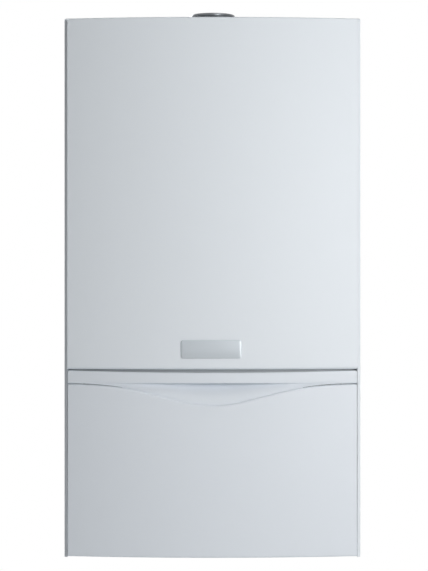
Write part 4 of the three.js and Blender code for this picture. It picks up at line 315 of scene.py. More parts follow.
def grey_moulded_abs():
    """Moulded ABS fascia: mid grey with a matt spark texture that breaks up its highlights."""
    # painted shade: this grey also colours the strip in the gap above the trim band, where it stands in for
    # the gap's shade
    material, tree, shader, place = new_finish("grey_moulded_abs", "#9DA2A6", 0.0, 0.55, ior=1.53)
    bumped(tree, shader, grain(tree, place, 0.9), 0.02, 0.4)
    return material


def black_glass_nylon():
    """Glass-filled nylon: near black, with a faint grey mottle where the fibres reach the skin."""
    material, tree, shader, place = new_finish("black_glass_nylon", "#24272B", 0.0, 0.5, ior=1.53)
    mottle = grain(tree, place, 1.6)
    shaded(tree, shader, mottle, "#1F2226", "#2A2E32")
    bumped(tree, shader, mottle, 0.02, 0.3)
    return material


def red_moulded_abs():
    """Gloss-moulded red ABS, as on a reset button or a valve cap."""
    material, tree, shader, place = new_finish("red_moulded_abs", "#B3242C", 0.0, 0.32, ior=1.53)
    bumped(tree, shader, grain(tree, place, 1.5), 0.01, 0.2)
    return material


def white_matt_nylon():
    """Unpainted nylon of an actuator head: warm white and matt."""
    material, tree, shader, place = new_finish("white_matt_nylon", "#DEDDD6", 0.0, 0.55, ior=1.53)
    bumped(tree, shader, grain(tree, place, 1.0), 0.015, 0.3)
    return material


def galvanised_sheet():
    """Hot-dip galvanised sheet: zinc crystals about 9 mm across in slightly different greys."""
    material, tree, shader, place = new_finish("galvanised_sheet", "#A9AEB1", 0.85, 0.42)
    spangle = add_node(tree, "ShaderNodeTexVoronoi", values={"Scale": 1.0 / (9.0 * MM)},
                       links={"Vector": (place, "Object")})
    shaded(tree, shader, spangle, "#9CA2A6", "#B9BDC0", output="Color", start=0.2, stop=0.8)
    return material


def polished_stainless():
    """Polished stainless steel: mirror-like, with hairlines left by the polishing wheel; its base colour is
    darkened to paint in the dark surroundings it reflects.
    """
    # painted reflection: the dark base colour stands in for dark surroundings seen in the metal
    material, tree, shader, place = new_finish("polished_stainless", "#6B6E71", 1.0, 0.3)
    bumped(tree, shader, grain(tree, place, 1.2, stretch=(1.0, 1.0, 12.0)), 0.004, 0.25)
    return material


def stamped_stainless():
    """Mill-finish stainless sheet: satin grey, with rolling lines along its length."""
    material, tree, shader, place = new_finish("stamped_stainless", "#B4B5B4", 1.0, 0.34)
    rolled = grain(tree, place, 1.5, stretch=(20.0, 1.0, 1.0))
    shaded(tree, shader, rolled, 0.28, 0.42, socket="Roughness")
    return material


def die_cast_aluminium():
    """Die-cast aluminium: pale grey, with the fine pebbled skin of a casting."""
    material, tree, shader, place = new_finish("die_cast_aluminium", "#B6BABC", 0.9, 0.45)
    skin = grain(tree, place, 1.4, detail=4.0)
    shaded(tree, shader, skin, "#A5AAAD", "#C2C5C7")
    bumped(tree, shader, skin, 0.05, 0.4)
    return material


def drawn_copper():
    """Drawn copper tube: warm metal with brown blotches of early tarnish."""
    material, tree, shader, place = new_finish("drawn_copper", "#C07C55", 1.0, 0.3)
    tarnish = grain(tree, place, 22.0, detail=3.0)
    shaded(tree, shader, tarnish, "#A9643F", "#CB8A62")
    return material


def machined_brass():
    """Machined brass: yellow metal, with the fine rings that a lathe tool leaves."""
    material, tree, shader, place = new_finish("machined_brass", "#C3A35B", 1.0, 0.3)
    shaded(tree, shader, grain(tree, place, 14.0), "#B2914B", "#CDB06B")
    bumped(tree, shader, grain(tree, place, 0.8, stretch=(14.0, 14.0, 1.0)), 0.01, 0.2)
    return material


def painted_cast_iron():
    """Sand-cast iron under dark paint: dull, with a grainy skin."""
    material, tree, shader, place = new_finish("painted_cast_iron", "#44484C", 0.3, 0.62)
    sand = grain(tree, place, 1.8, detail=5.0, rough=0.65)
    shaded(tree, shader, sand, "#3A3E42", "#505458")
    bumped(tree, shader, sand, 0.15, 0.6)
    return material


def ceramic_fibre_board():
    """Pressed ceramic fibre: cream white and dull, with soft fibrous pits."""
    material, tree, shader, place = new_finish("ceramic_fibre_board", "#E6E1D4", 0.0, 0.95)
    fibre = grain(tree, place, 3.0, stretch=(3.0, 1.0, 1.0), detail=5.0, rough=0.7)
    shaded(tree, shader, fibre, "#D9D2C1", "#EEEAE0")
    bumped(tree, shader, fibre, 0.4, 0.6)
    return material


def glazed_alumina():
    """Glazed alumina insulator: white, hard and glossy."""
    material, tree, shader, place = new_finish("glazed_alumina", "#EDEAE2", 0.0, 0.15, ior=1.6)
    shaded(tree, shader, grain(tree, place, 6.0), "#E6E2D8", "#F2EFE8")
    return material


def red_stoved_enamel():
    """Stoved paint on a pressed steel vessel: deep red with a slight orange peel."""
    material, tree, shader, place = new_finish("red_stoved_enamel", "#9E2B29", 0.0, 0.35, ior=1.5)
    bumped(tree, shader, grain(tree, place, 2.5), 0.03, 0.4)
    return material


def solder_masked_board():
    """Glass-fibre board under green solder mask, with paler copper tracks 1.3 mm wide beneath it."""
    material, tree, shader, place = new_finish("solder_masked_board", "#2C6B45", 0.0, 0.35, ior=1.5)
    tracks = add_node(tree, "ShaderNodeTexBrick",
                      values={"Scale": 1.0, "Mortar Size": 0.0006, "Brick Width": 0.031, "Row Height": 0.0045,
                              "Color1": linear("#2B6743"), "Color2": linear("#2F6F49"),
                              "Mortar": linear("#4B8A5E")})
    turn = add_node(tree, "ShaderNodeMapping", values={"Rotation": (math.pi / 2, 0.0, 0.0)},
                    links={"Vector": (place, "Object")})
    tree.links.new(turn.outputs["Vector"], tracks.inputs["Vector"])
    tree.links.new(tracks.outputs["Color"], shader.inputs["Base Color"])
    return material


def clear_polycarbonate():
    """Clear polycarbonate window: see-through, with a sharp gloss and a trace of cool tint."""
    material, tree, shader, place = new_finish("clear_polycarbonate", "#DCE6EA", 0.0, 0.05, ior=1.58,
                                               transmission_weight=1.0)
    bumped(tree, shader, grain(tree, place, 20.0), 0.01, 0.05)
    return material


FINISHES = {
    "white_enamel": white_powder_coat,
    "white_plastic": white_moulded_abs,
    "satin_plate": satin_silver_plate,
    "grey_plastic": grey_moulded_abs,
    "black_plastic": black_glass_nylon,
    "red_plastic": red_moulded_abs,
    "white_head": white_matt_nylon,
    "galvanised": galvanised_sheet,
    "polished_steel": polished_stainless,
    "stainless": stamped_stainless,
    "aluminium": die_cast_aluminium,
    "copper": drawn_copper,
    "brass": machined_brass,
    "cast_iron": painted_cast_iron,
    "ceramic_fibre": ceramic_fibre_board,
    "white_ceramic": glazed_alumina,
    "vessel_red": red_stoved_enamel,
    "circuit_board": solder_masked_board,
    "clear_window": clear_polycarbonate,
}
MADE = {}


def finish(slot):
    """The one material of a slot, made when it is first asked for."""
    if slot not in MADE:
        MADE[slot] = FINISHES[slot]()
    return MADE[slot]


# ---------------------------------------------------------------- shaping


def bow_at(x):
    half = CASING_WIDTH / 2 - sizes().edge_radius / MM
    return sizes().front_bow / MM * max(0.0, 1 - (x / half) ** 2)


def wave_at(x):
    return sizes().wave_depth / MM * math.exp(-(x ** 2) / (2 * WAVE_SPREAD ** 2))


def outline(bm, points, closed=False):
    """Vertices along a line of points, joined by edges."""
    verts = [bm.verts.new(p) for p in points]
    edges = [bm.edges.new(pair) for pair in zip(verts, verts[1:])]
    if closed:
        edges.append(bm.edges.new((verts[-1], verts[0])))
    return verts, edges


def drawn_out(bm, edges, move):
    """Extrudes a line of edges and moves the new end by a vector or by a function of each vertex."""
    made = bmesh.ops.extrude_edge_only(bm, edges=edges)["geom"]
    verts = [g for g in made if isinstance(g, bmesh.types.BMVert)]
    for v in verts:
        v.co = move(v.co) if callable(move) else v.co + Vector(move)
    return verts, [g for g in made if isinstance(g, bmesh.types.BMEdge) and all(v in verts for v in g.verts)]


def sliced(bm, axis, places, faces=None):
    """Cuts the mesh, or some of its faces, across at each place along an axis."""
    normal = [0.0, 0.0, 0.0]
    normal[axis] = 1.0
    for place in places:
        co = [0.0, 0.0, 0.0]
        co[axis] = place
        if faces is None:
            geom = bm.verts[:] + bm.edges[:] + bm.faces[:]
        else:
            geom = list({g for f in faces for g in (f, *f.edges, *f.verts)})
        done = bmesh.ops.bisect_plane(bm, geom=geom, plane_co=co, plane_no=normal, dist=1e-4)
        if faces is not None:
            faces = [g for g in done["geom"] if isinstance(g, bmesh.types.BMFace)]
    return faces


def rounded(bm, edges, radius, segments):
    bmesh.ops.bevel(bm, geom=list(edges), offset=radius, offset_type="OFFSET", affect="EDGES",
                    segments=segments, profile=0.5, material=-1, clamp_overlap=True)


def corners_rounded(bm, radius, segments):
    bmesh.ops.bevel(bm, geom=bm.verts[:], offset=radius, offset_type="OFFSET", affect="VERTICES",
                    segments=segments, profile=0.5, material=-1)


def moved(bm, vec):
    bmesh.ops.translate(bm, verts=bm.verts[:], vec=vec)


def quarter_turned(bm, axis):
    bmesh.ops.rotate(bm, verts=bm.verts[:], cent=(0, 0, 0), matrix=Matrix.Rotation(math.pi / 2, 3, axis))


def bowed(bm):
    """Bends a piece of the front to the casing's bow."""
    for v in bm.verts:
        v.co.y -= bow_at(v.co.x)


def edges_where(bm, test):
    return [e for e in bm.edges if all(test(v.co) for v in e.verts)]


def near(a, b, slack=0.02):
    return abs(a - b) < slack


def spun(profile, centre, axis="Z", steps=64):
    """A closed body turned from a profile of (radius, height) pairs, in mm."""
    bm = bmesh.new()
    verts, edges = outline(bm, [(r, 0.0, h) for r, h in profile], closed=profile[0][0] > 0)
    bmesh.ops.spin(bm, geom=verts + edges, cent=(0, 0, 0), axis=(0, 0, 1), angle=2 * math.pi, steps=steps,
                   use_merge=True)
    bmesh.ops.remove_doubles(bm, verts=bm.verts[:], dist=1e-4)
    if axis == "FRONT":
        quarter_turned(bm, "X")
    moved(bm, centre)
    bmesh.ops.recalc_face_normals(bm, faces=bm.faces[:])
    return bm


def joined(*meshes):
    """One mesh from several."""
    whole = bmesh.new()
    for bm in meshes:
        carrier = bpy.data.meshes.new("carrier")
        bm.to_mesh(carrier)
        bm.free()
        whole.from_mesh(carrier)
        bpy.data.meshes.remove(carrier)
    return whole


def piece(name, bm, body, slot, stands_for=(), thickness=0.0, angle=SMOOTH_ANGLE, scaled=True):
    """Puts a mesh drawn in mm in its place in the frame, with its finish, body and wall."""
    if scaled:
        moved(bm, (0.0, 0.0, UNDERSIDE))
        bmesh.ops.scale(bm, verts=bm.verts[:], vec=(MM, MM, MM))
    for face in bm.faces:
        face.smooth = True
    for edge in bm.edges:
        if len(edge.link_faces) != 2 or edge.calc_face_angle(0.0) > math.radians(angle):
            edge.smooth = False
    mesh = bpy.data.meshes.new(name)
    bm.to_mesh(mesh)
    bm.free()
    made = bpy.data.objects.new(name, mesh)
    bpy.context.scene.collection.objects.link(made)
    mesh.materials.append(finish(slot))
    if thickness:
        wall = made.modifiers.new("wall", "SOLIDIFY")
        wall.thickness = thickness * MM
        wall.offset = -1.0
        wall.use_even_offset = True
        wall.use_quality_normals = True
    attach(made, body)
    if stands_for:
        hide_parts(*stands_for)
    return made


class BoilerOperator(bpy.types.Operator):
    """Shared by every operator of this part."""

    bl_options = {"REGISTER", "UNDO"}

    def execute(self, context):
        self.build()
        return {"FINISHED"}


# ---------------------------------------------------------------- casing and flap


class BOILER_OT_casing(BoilerOperator):
    """Builds the lift-off casing as one bent sheet: sides, corners, bowed upper front, hems and top flange"""

    bl_idname = "boiler.casing"
    bl_label = "Outer Casing"

    def build(self):
        half = CASING_WIDTH / 2
        edge = sizes().edge_radius / MM
        lip = half - edge - 0.1
        bm = bmesh.new()
        _, low = outline(bm, [(half, -WALL_GAP, 0), (half, -CASING_DEPTH, 0), (lip, -CASING_DEPTH, 0)])
        _, middle = drawn_out(bm, low, (0, 0, COVER_BOTTOM))
        front_start = next(v for e in middle for v in e.verts if near(v.co.x, lip))
        centre = bm.verts.new((0, -CASING_DEPTH, COVER_BOTTOM))
        front_edge = bm.edges.new((front_start, centre))
        _, top = drawn_out(bm, middle + [front_edge], (0, 0, CASING_HEIGHT - COVER_BOTTOM))
        # top flange, folded inwards
        drawn_out(bm, top, lambda co: Vector((min(co.x, half - TOP_RETURN),
                                              max(co.y, TOP_RETURN - CASING_DEPTH), co.z)))
        # rolled lower edge of the front
        drawn_out(bm, [front_edge], (0, ROLL_DEPTH, 0))
        # hem folded back and inwards beside the flap, with a notch for the flap's swing
        sliced(bm, 2, [SWING_NOTCH])
        hem = [e for e in bm.edges if e.is_boundary and all(near(v.co.x, lip) and near(v.co.y, -CASING_DEPTH)
                                                           and v.co.z < COVER_BOTTOM + 1 for v in e.verts)]
        _, back = drawn_out(bm, hem, (0, HEM_DEPTH, 0))
        drawn_out(bm, [e for e in back if max(v.co.z for v in e.verts) > SWING_NOTCH + 1], (-HEM_WIDTH, 0, 0))
        bmesh.ops.recalc_face_normals(bm, faces=bm.faces[:])
        rounded(bm, edges_where(bm, lambda co: near(co.z, CASING_HEIGHT) and (
            near(co.x, half) or near(co.y, -CASING_DEPTH))), sizes().top_radius / MM, 4)
        upright = edges_where(bm, lambda co: near(co.x, half) and near(co.y, -CASING_DEPTH, 0.5))
        rounded(bm, [e for e in upright if abs(e.verts[0].co.z - e.verts[1].co.z) > 5], edge, 1)
        rounded(bm, edges_where(bm, lambda co: near(co.z, COVER_BOTTOM) and near(co.y, -CASING_DEPTH)
                                and co.x < lip + 0.05), sizes().roll_radius / MM, 5)
        sliced(bm, 0, [lip * i / FRONT_STATIONS for i in range(1, FRONT_STATIONS)])
        for v in bm.verts:
            if v.co.y < -CASING_DEPTH + HEM_DEPTH + 1:
                v.co.y -= bow_at(v.co.x)
        bmesh.ops.mirror(bm, geom=bm.verts[:] + bm.edges[:] + bm.faces[:], axis="X", merge_dist=0.01)
        bmesh.ops.remove_doubles(bm, verts=bm.verts[:], dist=0.01)
        bmesh.ops.recalc_face_normals(bm, faces=bm.faces[:])
        piece("casing_shell", bm, "casing", "white_enamel", ("outer_casing",), thickness=CASING_SHEET,
              angle=FOLD_ANGLE)


def front_strip(bm, section, half):
    """A strip across the front from a line of (inward, height) points, cut into stations."""
    _, line = outline(bm, [(-half, s - CASING_DEPTH, h) for s, h in section])
    drawn_out(bm, line, (2 * half, 0, 0))
    sliced(bm, 0, [half * i / FRONT_STATIONS for i in range(1 - FRONT_STATIONS, FRONT_STATIONS)])
    bmesh.ops.recalc_face_normals(bm, faces=bm.faces[:])


def facing_front(bm, level):
    """Turns the faces of an open strip so that its face at that height looks to the front."""
    def away(face):
        middle = face.calc_center_median()
        return abs(middle.z - level) + middle.y * 0.1

    probe = min(bm.faces, key=away)
    if probe.normal.y > 0:
        bmesh.ops.reverse_faces(bm, faces=bm.faces[:])


class BOILER_OT_trim(BoilerOperator):
    """Builds the band over the flap, with its finger recess, its upstand and a grey strip in the gap above it
    that paints the gap's shade
    """

    bl_idname = "boiler.trim"
    bl_label = "Grip Trim"

    def build(self):
        half = CASING_WIDTH / 2 - sizes().edge_radius / MM - FLAP_SIDE_GAP
        depth = sizes().wave_depth / MM
        deep = sizes().recess_depth / MM
        section = [(UPSTAND, COVER_BOTTOM + UPSTAND_LAP), (UPSTAND, BAND_TOP), (0.0, BAND_TOP),
                   (0.0, BAND_BOTTOM)]
        section += [(deep * (1 - i / RECESS_ROWS) ** 2, BAND_BOTTOM - depth * i / RECESS_ROWS)
                    for i in range(RECESS_ROWS + 1)]
        bm = bmesh.new()
        front_strip(bm, section, half)
        for level, radius in ((BAND_TOP, BAND_TOP_ROUND), (BAND_BOTTOM, BAND_FOOT_ROUND)):
            rounded(bm, edges_where(bm, lambda co: near(co.z, level) and near(co.y, -CASING_DEPTH)),
                    radius, 3)
        for v in bm.verts:
            share = wave_at(v.co.x) / depth
            rim = RIM_DEPTH * min(1.0, share / RIM_RUN)
            inward = v.co.y + CASING_DEPTH
            down = (BAND_BOTTOM - v.co.z) / depth
            if down > 0.001:
                # the bowl's rim sinks behind the flap's lip, and where it is deep enough it tucks under it
                lap = RIM_TUCK if rim == RIM_DEPTH else RIM_LAP * rim / RIM_DEPTH
                v.co.y = rim + (deep * share - rim) * (1 - down) ** 2 - CASING_DEPTH
                v.co.z = BAND_BOTTOM - down * (depth * share + lap)
            elif near(v.co.z, BAND_BOTTOM):
                v.co.y -= (1 - share) * inward
            elif v.co.z > BAND_BOTTOM + TRIM_WALL:
                v.co.z -= BAND_DIP * (1 - (v.co.x / (half + FLAP_SIDE_GAP)) ** 2)
            v.co.y -= bow_at(v.co.x)
        bmesh.ops.recalc_face_normals(bm, faces=bm.faces[:])
        facing_front(bm, (BAND_TOP + BAND_BOTTOM) / 2)
        piece("trim_band", bm, "casing", "white_plastic", ("grip_trim",), thickness=TRIM_WALL)
        # painted shade: a grey strip set deep in the gap between the upper front and the band stands in for
        # the shade in that gap
        gap_shade = bmesh.new()
        level = UPSTAND - GAP_SHADE_STRIP - 0.1
        front_strip(gap_shade, [(level, COVER_BOTTOM + UPSTAND_LAP - 0.5), (level, GAP_SHADE_STRIP_BOTTOM)], half - 1.0)
        bowed(gap_shade)
        facing_front(gap_shade, COVER_BOTTOM)
        piece("trim_gap_shade", gap_shade, "casing", "grey_plastic", thickness=GAP_SHADE_STRIP)


class BOILER_OT_flap(BoilerOperator):
    """Builds the drop-down flap with its waved, rounded lip and the bosses of its hinge"""

    bl_idname = "boiler.flap"
    bl_label = "Front Flap"

    def build(self):
        half = CASING_WIDTH / 2 - sizes().edge_radius / MM - FLAP_SIDE_GAP
        section = [(FLAP_RETURN, FLAP_BOTTOM), (0.0, FLAP_BOTTOM), (0.0, FLAP_TOP), (LIP_RETURN, FLAP_TOP)]
        bm = bmesh.new()
        front_strip(bm, section, half)
        for level, radius, segments in ((FLAP_TOP, LIP_RADIUS, 6), (FLAP_BOTTOM, FLAP_FOOT_RADIUS, 5)):
            rounded(bm, edges_where(bm, lambda co: near(co.z, level) and near(co.y, -CASING_DEPTH)),
                    radius, segments)
        for v in bm.verts:
            if v.co.z > FLAP_TOP - 2 * FLAP_WALL:
                v.co.z -= wave_at(v.co.x)
            v.co.y -= bow_at(v.co.x)
        bmesh.ops.recalc_face_normals(bm, faces=bm.faces[:])
        facing_front(bm, FLAP_TOP / 2)
        piece("flap_skin", bm, "flap", "white_plastic", ("front_flap",), thickness=FLAP_WALL)
        for name, start in (("left", -half), ("right", half - HINGE_BOSS_LENGTH)):
            boss = spun([(HINGE_BORE, 0.0), (HINGE_BOSS_RADIUS, 0.0), (HINGE_BOSS_RADIUS, HINGE_BOSS_LENGTH),
                         (HINGE_BORE, HINGE_BOSS_LENGTH)], (0, 0, 0), steps=32)
            quarter_turned(boss, "Y")
            moved(boss, (start, -HINGE_DEPTH, HINGE_HEIGHT))
            web = bmesh.new()
            bmesh.ops.create_cube(web, size=1.0)
            reach = CASING_DEPTH - HINGE_DEPTH - HINGE_BORE - WEB_GAP
            bmesh.ops.scale(web, verts=web.verts[:], vec=(
                HINGE_BOSS_LENGTH, reach, 2 * HINGE_BOSS_RADIUS - 1))
            moved(web, (start + HINGE_BOSS_LENGTH / 2, -CASING_DEPTH + reach / 2 + WEB_GAP, HINGE_HEIGHT))
            rounded(web, web.edges[:], WEB_ROUND, 2)
            piece(f"flap_hinge_boss_{name}", joined(boss, web), "flap", "white_plastic")


class BOILER_OT_plate(BoilerOperator):
    """Builds the bare oblong plate on the upper front, with rounded corners and eased edges"""

    bl_idname = "boiler.plate"
    bl_label = "Bare Plate"

    def build(self):
        wide = sizes().plate_width / MM
        tall = sizes().plate_height / MM
        bm = bmesh.new()
        bmesh.ops.create_grid(bm, x_segments=1, y_segments=1, size=0.5)
        bmesh.ops.scale(bm, verts=bm.verts[:], vec=(wide, tall, 1.0))
        corners_rounded(bm, PLATE_CORNER, 6)
        quarter_turned(bm, "X")
        raised = bmesh.ops.extrude_face_region(bm, geom=bm.faces[:])["geom"]
        bmesh.ops.translate(bm, verts=[g for g in raised if isinstance(g, bmesh.types.BMVert)],
                            vec=(0, -PLATE_THICKNESS, 0))
        bmesh.ops.recalc_face_normals(bm, faces=bm.faces[:])
        rounded(bm, edges_where(bm, lambda co: near(co.y, -PLATE_THICKNESS)), PLATE_EDGE, 3)
        moved(bm, (PLATE_OFFSET, -CASING_DEPTH - PLATE_LIFT, PLATE_LEVEL))
        sliced(bm, 0, [PLATE_OFFSET - wide / 2 + wide * i / PLATE_STATIONS for i in range(1, PLATE_STATIONS)])
        bowed(bm)
        piece("bare_plate", bm, "casing", "satin_plate", ("badge_plate",))


class BOILER_OT_flue_ring(BoilerOperator):
    """Turns the flue collar, with its flange below and the bead round its mouth"""

    bl_idname = "boiler.flue_ring"
    bl_label = "Flue Collar"

    def build(self):
        r = FLUE_RADIUS
        inner = r - FLUE_WALL
        neck = r - 0.7
        profile = [(inner, FLUE_BASE), (FLUE_FLANGE - 0.6, FLUE_BASE), (FLUE_FLANGE, FLUE_BASE + 0.6),
                   (FLUE_FLANGE, FLUE_BASE + 2.4), (FLUE_FLANGE - 0.6, FLUE_BASE + 3.0),
                   (neck + 1.2, FLUE_BASE + 3.0), (neck + 0.35, FLUE_BASE + 3.4),
                   (neck, FLUE_BASE + 4.2), (neck, FLUE_MOUTH - 4.8),
                   (r - 0.3, FLUE_MOUTH - 4.3), (r - 0.08, FLUE_MOUTH - 3.4), (r, FLUE_MOUTH - 2.5),
                   (r - 0.12, FLUE_MOUTH - 1.6), (r - 0.45, FLUE_MOUTH - 0.8), (r - 0.95, FLUE_MOUTH - 0.2),
                   (r - 1.5, FLUE_MOUTH), (inner + 0.4, FLUE_MOUTH), (inner, FLUE_MOUTH - 0.4)]
        bm = spun(profile, (0, -FLUE_DEPTH, 0), steps=96)
        piece("flue_ring", bm, "chassis", "polished_steel", ("flue_collar",), angle=FLUE_ANGLE)


# ---------------------------------------------------------------- controls


def dial_marks(centre, sweep, count, start, stop, half):
    """Outlines of (x, height) for the marks of a scale; every fifth mark is longer and broader."""
    marks = []
    for i in range(count):
        turn = math.radians(sweep * (i / (count - 1) - 0.5))
        along = Vector((math.sin(turn), math.cos(turn)))
        across = Vector((along.y, -along.x))
        long = i % 5 == 0
        far = stop + (stop - start) * 0.4 * long
        wide = half * (1.5 if long else 1.0)
        middle = Vector(centre)
        marks.append([middle + along * r + across * w for r, w in (
            (start, -wide), (start, wide), (far, wide), (far, -wide))])
    return marks


def facing_tiles(outlines, level):
    """Flat tiles that look to the front, from outlines of (x, height) points."""
    bm = bmesh.new()
    for points in outlines:
        bm.faces.new([bm.verts.new((x, -level, height)) for x, height in points])
    for face in bm.faces:
        if face.normal.y > 0:
            face.normal_flip()
    return bm


class BOILER_OT_scales(BoilerOperator):
    """Prints the scales round the knobs, their pointers, and the pale dial of the pressure gauge"""

    bl_idname = "boiler.scales"
    bl_label = "Scales"

    def build(self):
        body = BODY_OF["control_fascia"]
        marks = [mark for x in KNOBS.values() for mark in dial_marks((x, UPPER_ROW), KNOB_SWEEP, *KNOB_MARKS)]
        piece("knob_scales", facing_tiles(marks, FASCIA_LEVEL + PRINT), body, "white_plastic",
              thickness=PRINT)
        for knob, x in KNOBS.items():
            tip = UPPER_ROW + POINTER_TIP
            left, right = x - POINTER_HALF, x + POINTER_HALF
            foot, shoulder = tip - POINTER_LENGTH, tip - POINTER_TAPER
            pointer = [(left, foot), (right, foot), (right, shoulder), (x, tip), (left, shoulder)]
            piece(f"{knob}_pointer", facing_tiles([pointer], KNOB_FRONT + PRINT), BODY_OF[knob],
                  "white_plastic", thickness=PRINT)
        dial = spun([(DIAL_HOLE, 0.0), (DIAL_RADIUS, 0.0), (DIAL_RADIUS, PRINT), (DIAL_HOLE, PRINT)],
                    (GAUGE_PLACE, -GAUGE_FLOOR - 0.05, UPPER_ROW), axis="FRONT", steps=48)
        piece("gauge_dial", dial, body, "white_plastic")
        marks = dial_marks((GAUGE_PLACE, UPPER_ROW), GAUGE_SWEEP, *GAUGE_MARKS)
        piece("gauge_scale", facing_tiles(marks, GAUGE_FLOOR + 0.07 + 2 * PRINT), body, "black_plastic",
              thickness=PRINT)


class BOILER_OT_display(BoilerOperator):
    """Frames the display window with a raised bezel and sets the unlit panel behind it"""

    bl_idname = "boiler.display"
    bl_label = "Display"

    def build(self):
        body = BODY_OF["control_fascia"]
        bezel = bmesh.new()
        rings = []
        for grow, level in ((0.2, 0.0), (0.2, 0.5), (0.8, 1.0), (BEZEL - 0.6, 1.0), (BEZEL, 0.4),
                            (BEZEL, 0.0)):
            wide = WINDOW_WIDTH / 2 + grow
            tall = WINDOW_HEIGHT / 2 + grow
            front = -FASCIA_LEVEL - BEZEL_GAP - level
            ring, _ = outline(bezel, [(WINDOW_MIDDLE + i * wide, front, UPPER_ROW + j * tall)
                                      for i, j in SQUARE], closed=True)
            rings.append(list(dict.fromkeys(e for v in ring for e in v.link_edges)))
        for inner, outer in zip(rings, rings[1:] + rings[:1]):
            bmesh.ops.bridge_loops(bezel, edges=inner + outer)
        bmesh.ops.recalc_face_normals(bezel, faces=bezel.faces[:])
        piece("display_bezel", bezel, body, "black_plastic")
        wide = WINDOW_WIDTH / 2 - 1
        tall = WINDOW_HEIGHT / 2 - 1
        panel = facing_tiles([[(WINDOW_MIDDLE + i * wide, UPPER_ROW + j * tall) for i, j in SQUARE]],
                             FASCIA_LEVEL - PANEL_DEPTH)
        corners_rounded(panel, PANEL_CORNER, 4)
        piece("display_panel", panel, body, "grey_plastic", thickness=PANEL_THICKNESS)


# ---------------------------------------------------------------- inner pieces


class BOILER_OT_inner_parts(BoilerOperator):
    """Gives every other node its finish, on a merged copy with smooth rounds"""

    bl_idname = "boiler.inner_parts"
    bl_label = "Inner Parts"

    KEPT = ("display_window", "gauge_lens")

    def build(self):
        for name, node in NODES.items():
            if node.hide_render:
                continue
            slot = SLOT_OF[name]
            node.data.materials.clear()
            node.data.materials.append(finish(slot))
            if name in self.KEPT:
                continue
            bm = bmesh.new()
            bm.from_mesh(node.data)
            bmesh.ops.remove_doubles(bm, verts=bm.verts[:], dist=1e-6)
            bmesh.ops.dissolve_limit(bm, angle_limit=math.radians(0.5), verts=bm.verts[:], edges=bm.edges[:])
            piece(f"{name}_dressed", bm, BODY_OF[name], slot, (name,), scaled=False)


# ---------------------------------------------------------------- stage


def area_light(name, place, target, side, power, colour):
    data = bpy.data.lights.new(name, "AREA")
    data.shape = "RECTANGLE"
    data.size = data.size_y = side
    data.energy = power
    data.color = colour
    lamp = bpy.data.objects.new(name, data)
    bpy.context.scene.collection.objects.link(lamp)
    lamp.location = place
    lamp.rotation_euler = (Vector(target) - Vector(place)).to_track_quat("-Z", "Y").to_euler()


def seen_by_eye(tree):
    """One where the camera, a reflection or a clear window sees the surface, else nought."""
    path = add_node(tree, "ShaderNodeLightPath")
    seen = add_node(tree, "ShaderNodeMath", {"operation": "MAXIMUM"},
                    links={0: (path, "Is Camera Ray"), 1: (path, "Is Glossy Ray")})
    return add_node(tree, "ShaderNodeMath", {"operation": "MAXIMUM"},
                    links={0: (seen, "Value"), 1: (path, "Is Transmission Ray")})


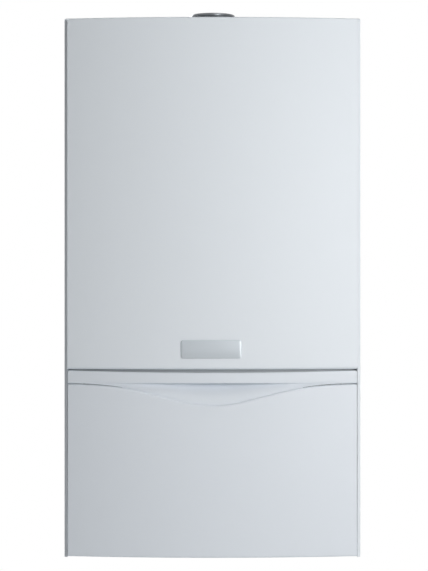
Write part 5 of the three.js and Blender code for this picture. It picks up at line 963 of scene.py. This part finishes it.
class BOILER_OT_stage(BoilerOperator):
    """Sets the white backdrop, the pale floor, the soft lights and the camera at the photograph's angle"""

    bl_idname = "boiler.stage"
    bl_label = "Stage"

    FLOOR = -1.35

    def build(self):
        scene = bpy.context.scene
        stage = scene.boiler_stage
        world = bpy.data.worlds.new("white_studio")
        scene.world = world
        world.use_nodes = True
        tree = world.node_tree
        ambient = tree.nodes["Background"]
        ambient.inputs["Color"].default_value = (0.93, 0.97, 1.0, 1.0)
        ambient.inputs["Strength"].default_value = AMBIENT
        white = add_node(tree, "ShaderNodeBackground",
                         values={"Color": (1.0, 1.0, 1.0, 1.0), "Strength": 1.0})
        mix = add_node(tree, "ShaderNodeMixShader", links={
            0: (seen_by_eye(tree), "Value"), 1: (ambient, "Background"), 2: (white, "Background")})
        tree.links.new(mix.outputs["Shader"], tree.nodes["World Output"].inputs["Surface"])

        floor = bmesh.new()
        bmesh.ops.create_grid(floor, x_segments=2, y_segments=2, size=FLOOR_HALF)
        moved(floor, (0, 0, self.FLOOR))
        mesh = bpy.data.meshes.new("floor")
        floor.to_mesh(mesh)
        floor.free()
        ground = bpy.data.objects.new("floor", mesh)
        scene.collection.objects.link(ground)
        material = bpy.data.materials.new("pale_floor")
        material.use_nodes = True
        tree = material.node_tree
        surface = tree.nodes["Principled BSDF"]
        surface.inputs["Base Color"].default_value = linear("#F2F3F4")
        surface.inputs["Roughness"].default_value = 0.9
        glow = add_node(tree, "ShaderNodeEmission", values={"Color": (1.0, 1.0, 1.0, 1.0), "Strength": 1.0})
        share = add_node(tree, "ShaderNodeMath", {"operation": "MULTIPLY"}, {1: FLOOR_WHITENESS},
                         {0: (seen_by_eye(tree), "Value")})
        blend = add_node(tree, "ShaderNodeMixShader", links={0: (share, "Value"), 1: (surface, "BSDF"),
                                                             2: (glow, "Emission")})
        tree.links.new(blend.outputs["Shader"], tree.nodes["Material Output"].inputs["Surface"])
        mesh.materials.append(material)

        across, front, level = FRONT_MIDDLE
        for name, place, target, side, power, colour in (
                ("key_right", (1.0, -2.07, -0.16), FRONT_MIDDLE, 0.9, stage.key_power, (1.0, 0.99, 0.975)),
                ("top_right", (1.061, -1.399, 2.263), FRONT_MIDDLE, 1.8, stage.top_power, (0.99, 1.0, 1.0)),
                ("back_left", (-1.7, 2.5, 0.9), (across, 0.0, level), 2.0, stage.back_power, (1.0, 1.0, 1.0)),
                ("side_left", (-3.2, -0.62, -0.3), FRONT_MIDDLE, 1.6, stage.fill_power, (0.94, 0.98, 1.0))):
            area_light(name, place, target, side, power, colour)

        data = bpy.data.cameras.new("photo_camera")
        data.lens = stage.lens
        data.sensor_width = SENSOR_WIDTH
        camera = bpy.data.objects.new("photo_camera", data)
        scene.collection.objects.link(camera)
        camera.location = (CAMERA_ASIDE, front - stage.distance, level + CAMERA_RAISE)
        camera.rotation_euler = (math.pi / 2, 0.0, 0.0)
        scene.camera = camera
        scene.view_settings.view_transform = "Standard"


# ---------------------------------------------------------------- panel and registration

OPERATORS = (
    BOILER_OT_casing,
    BOILER_OT_trim,
    BOILER_OT_flap,
    BOILER_OT_plate,
    BOILER_OT_flue_ring,
    BOILER_OT_scales,
    BOILER_OT_display,
    BOILER_OT_inner_parts,
    BOILER_OT_stage,
)


class BOILER_PT_panel(bpy.types.Panel):
    """Lists the sizes, the colours and the operators of the boiler"""

    bl_idname = "BOILER_PT_panel"
    bl_label = "Combi Boiler"
    bl_space_type = "VIEW_3D"
    bl_region_type = "UI"
    bl_category = "Boiler"

    def draw(self, context):
        for group in (context.scene.boiler_sizes, context.scene.boiler_colours, context.scene.boiler_stage):
            for key in group.bl_rna.properties.keys():
                if key not in ("rna_type", "name"):
                    self.layout.prop(group, key)
        for operator in OPERATORS:
            self.layout.operator(operator.bl_idname)


GROUPS = {"boiler_sizes": BoilerSizes, "boiler_colours": BoilerColours, "boiler_stage": BoilerStage}


def register():
    for group in GROUPS.values():
        bpy.utils.register_class(group)
    for operator in OPERATORS:
        bpy.utils.register_class(operator)
    bpy.utils.register_class(BOILER_PT_panel)
    for name, group in GROUPS.items():
        setattr(bpy.types.Scene, name, bpy.props.PointerProperty(type=group))


def unregister():
    for name in GROUPS:
        delattr(bpy.types.Scene, name)
    bpy.utils.unregister_class(BOILER_PT_panel)
    for operator in reversed(OPERATORS):
        bpy.utils.unregister_class(operator)
    for group in GROUPS.values():
        bpy.utils.unregister_class(group)


def main():
    register()
    for operator in OPERATORS:
        family, name = operator.bl_idname.split(".")
        getattr(getattr(bpy.ops, family), name)()


if __name__ == "__main__":
    main()
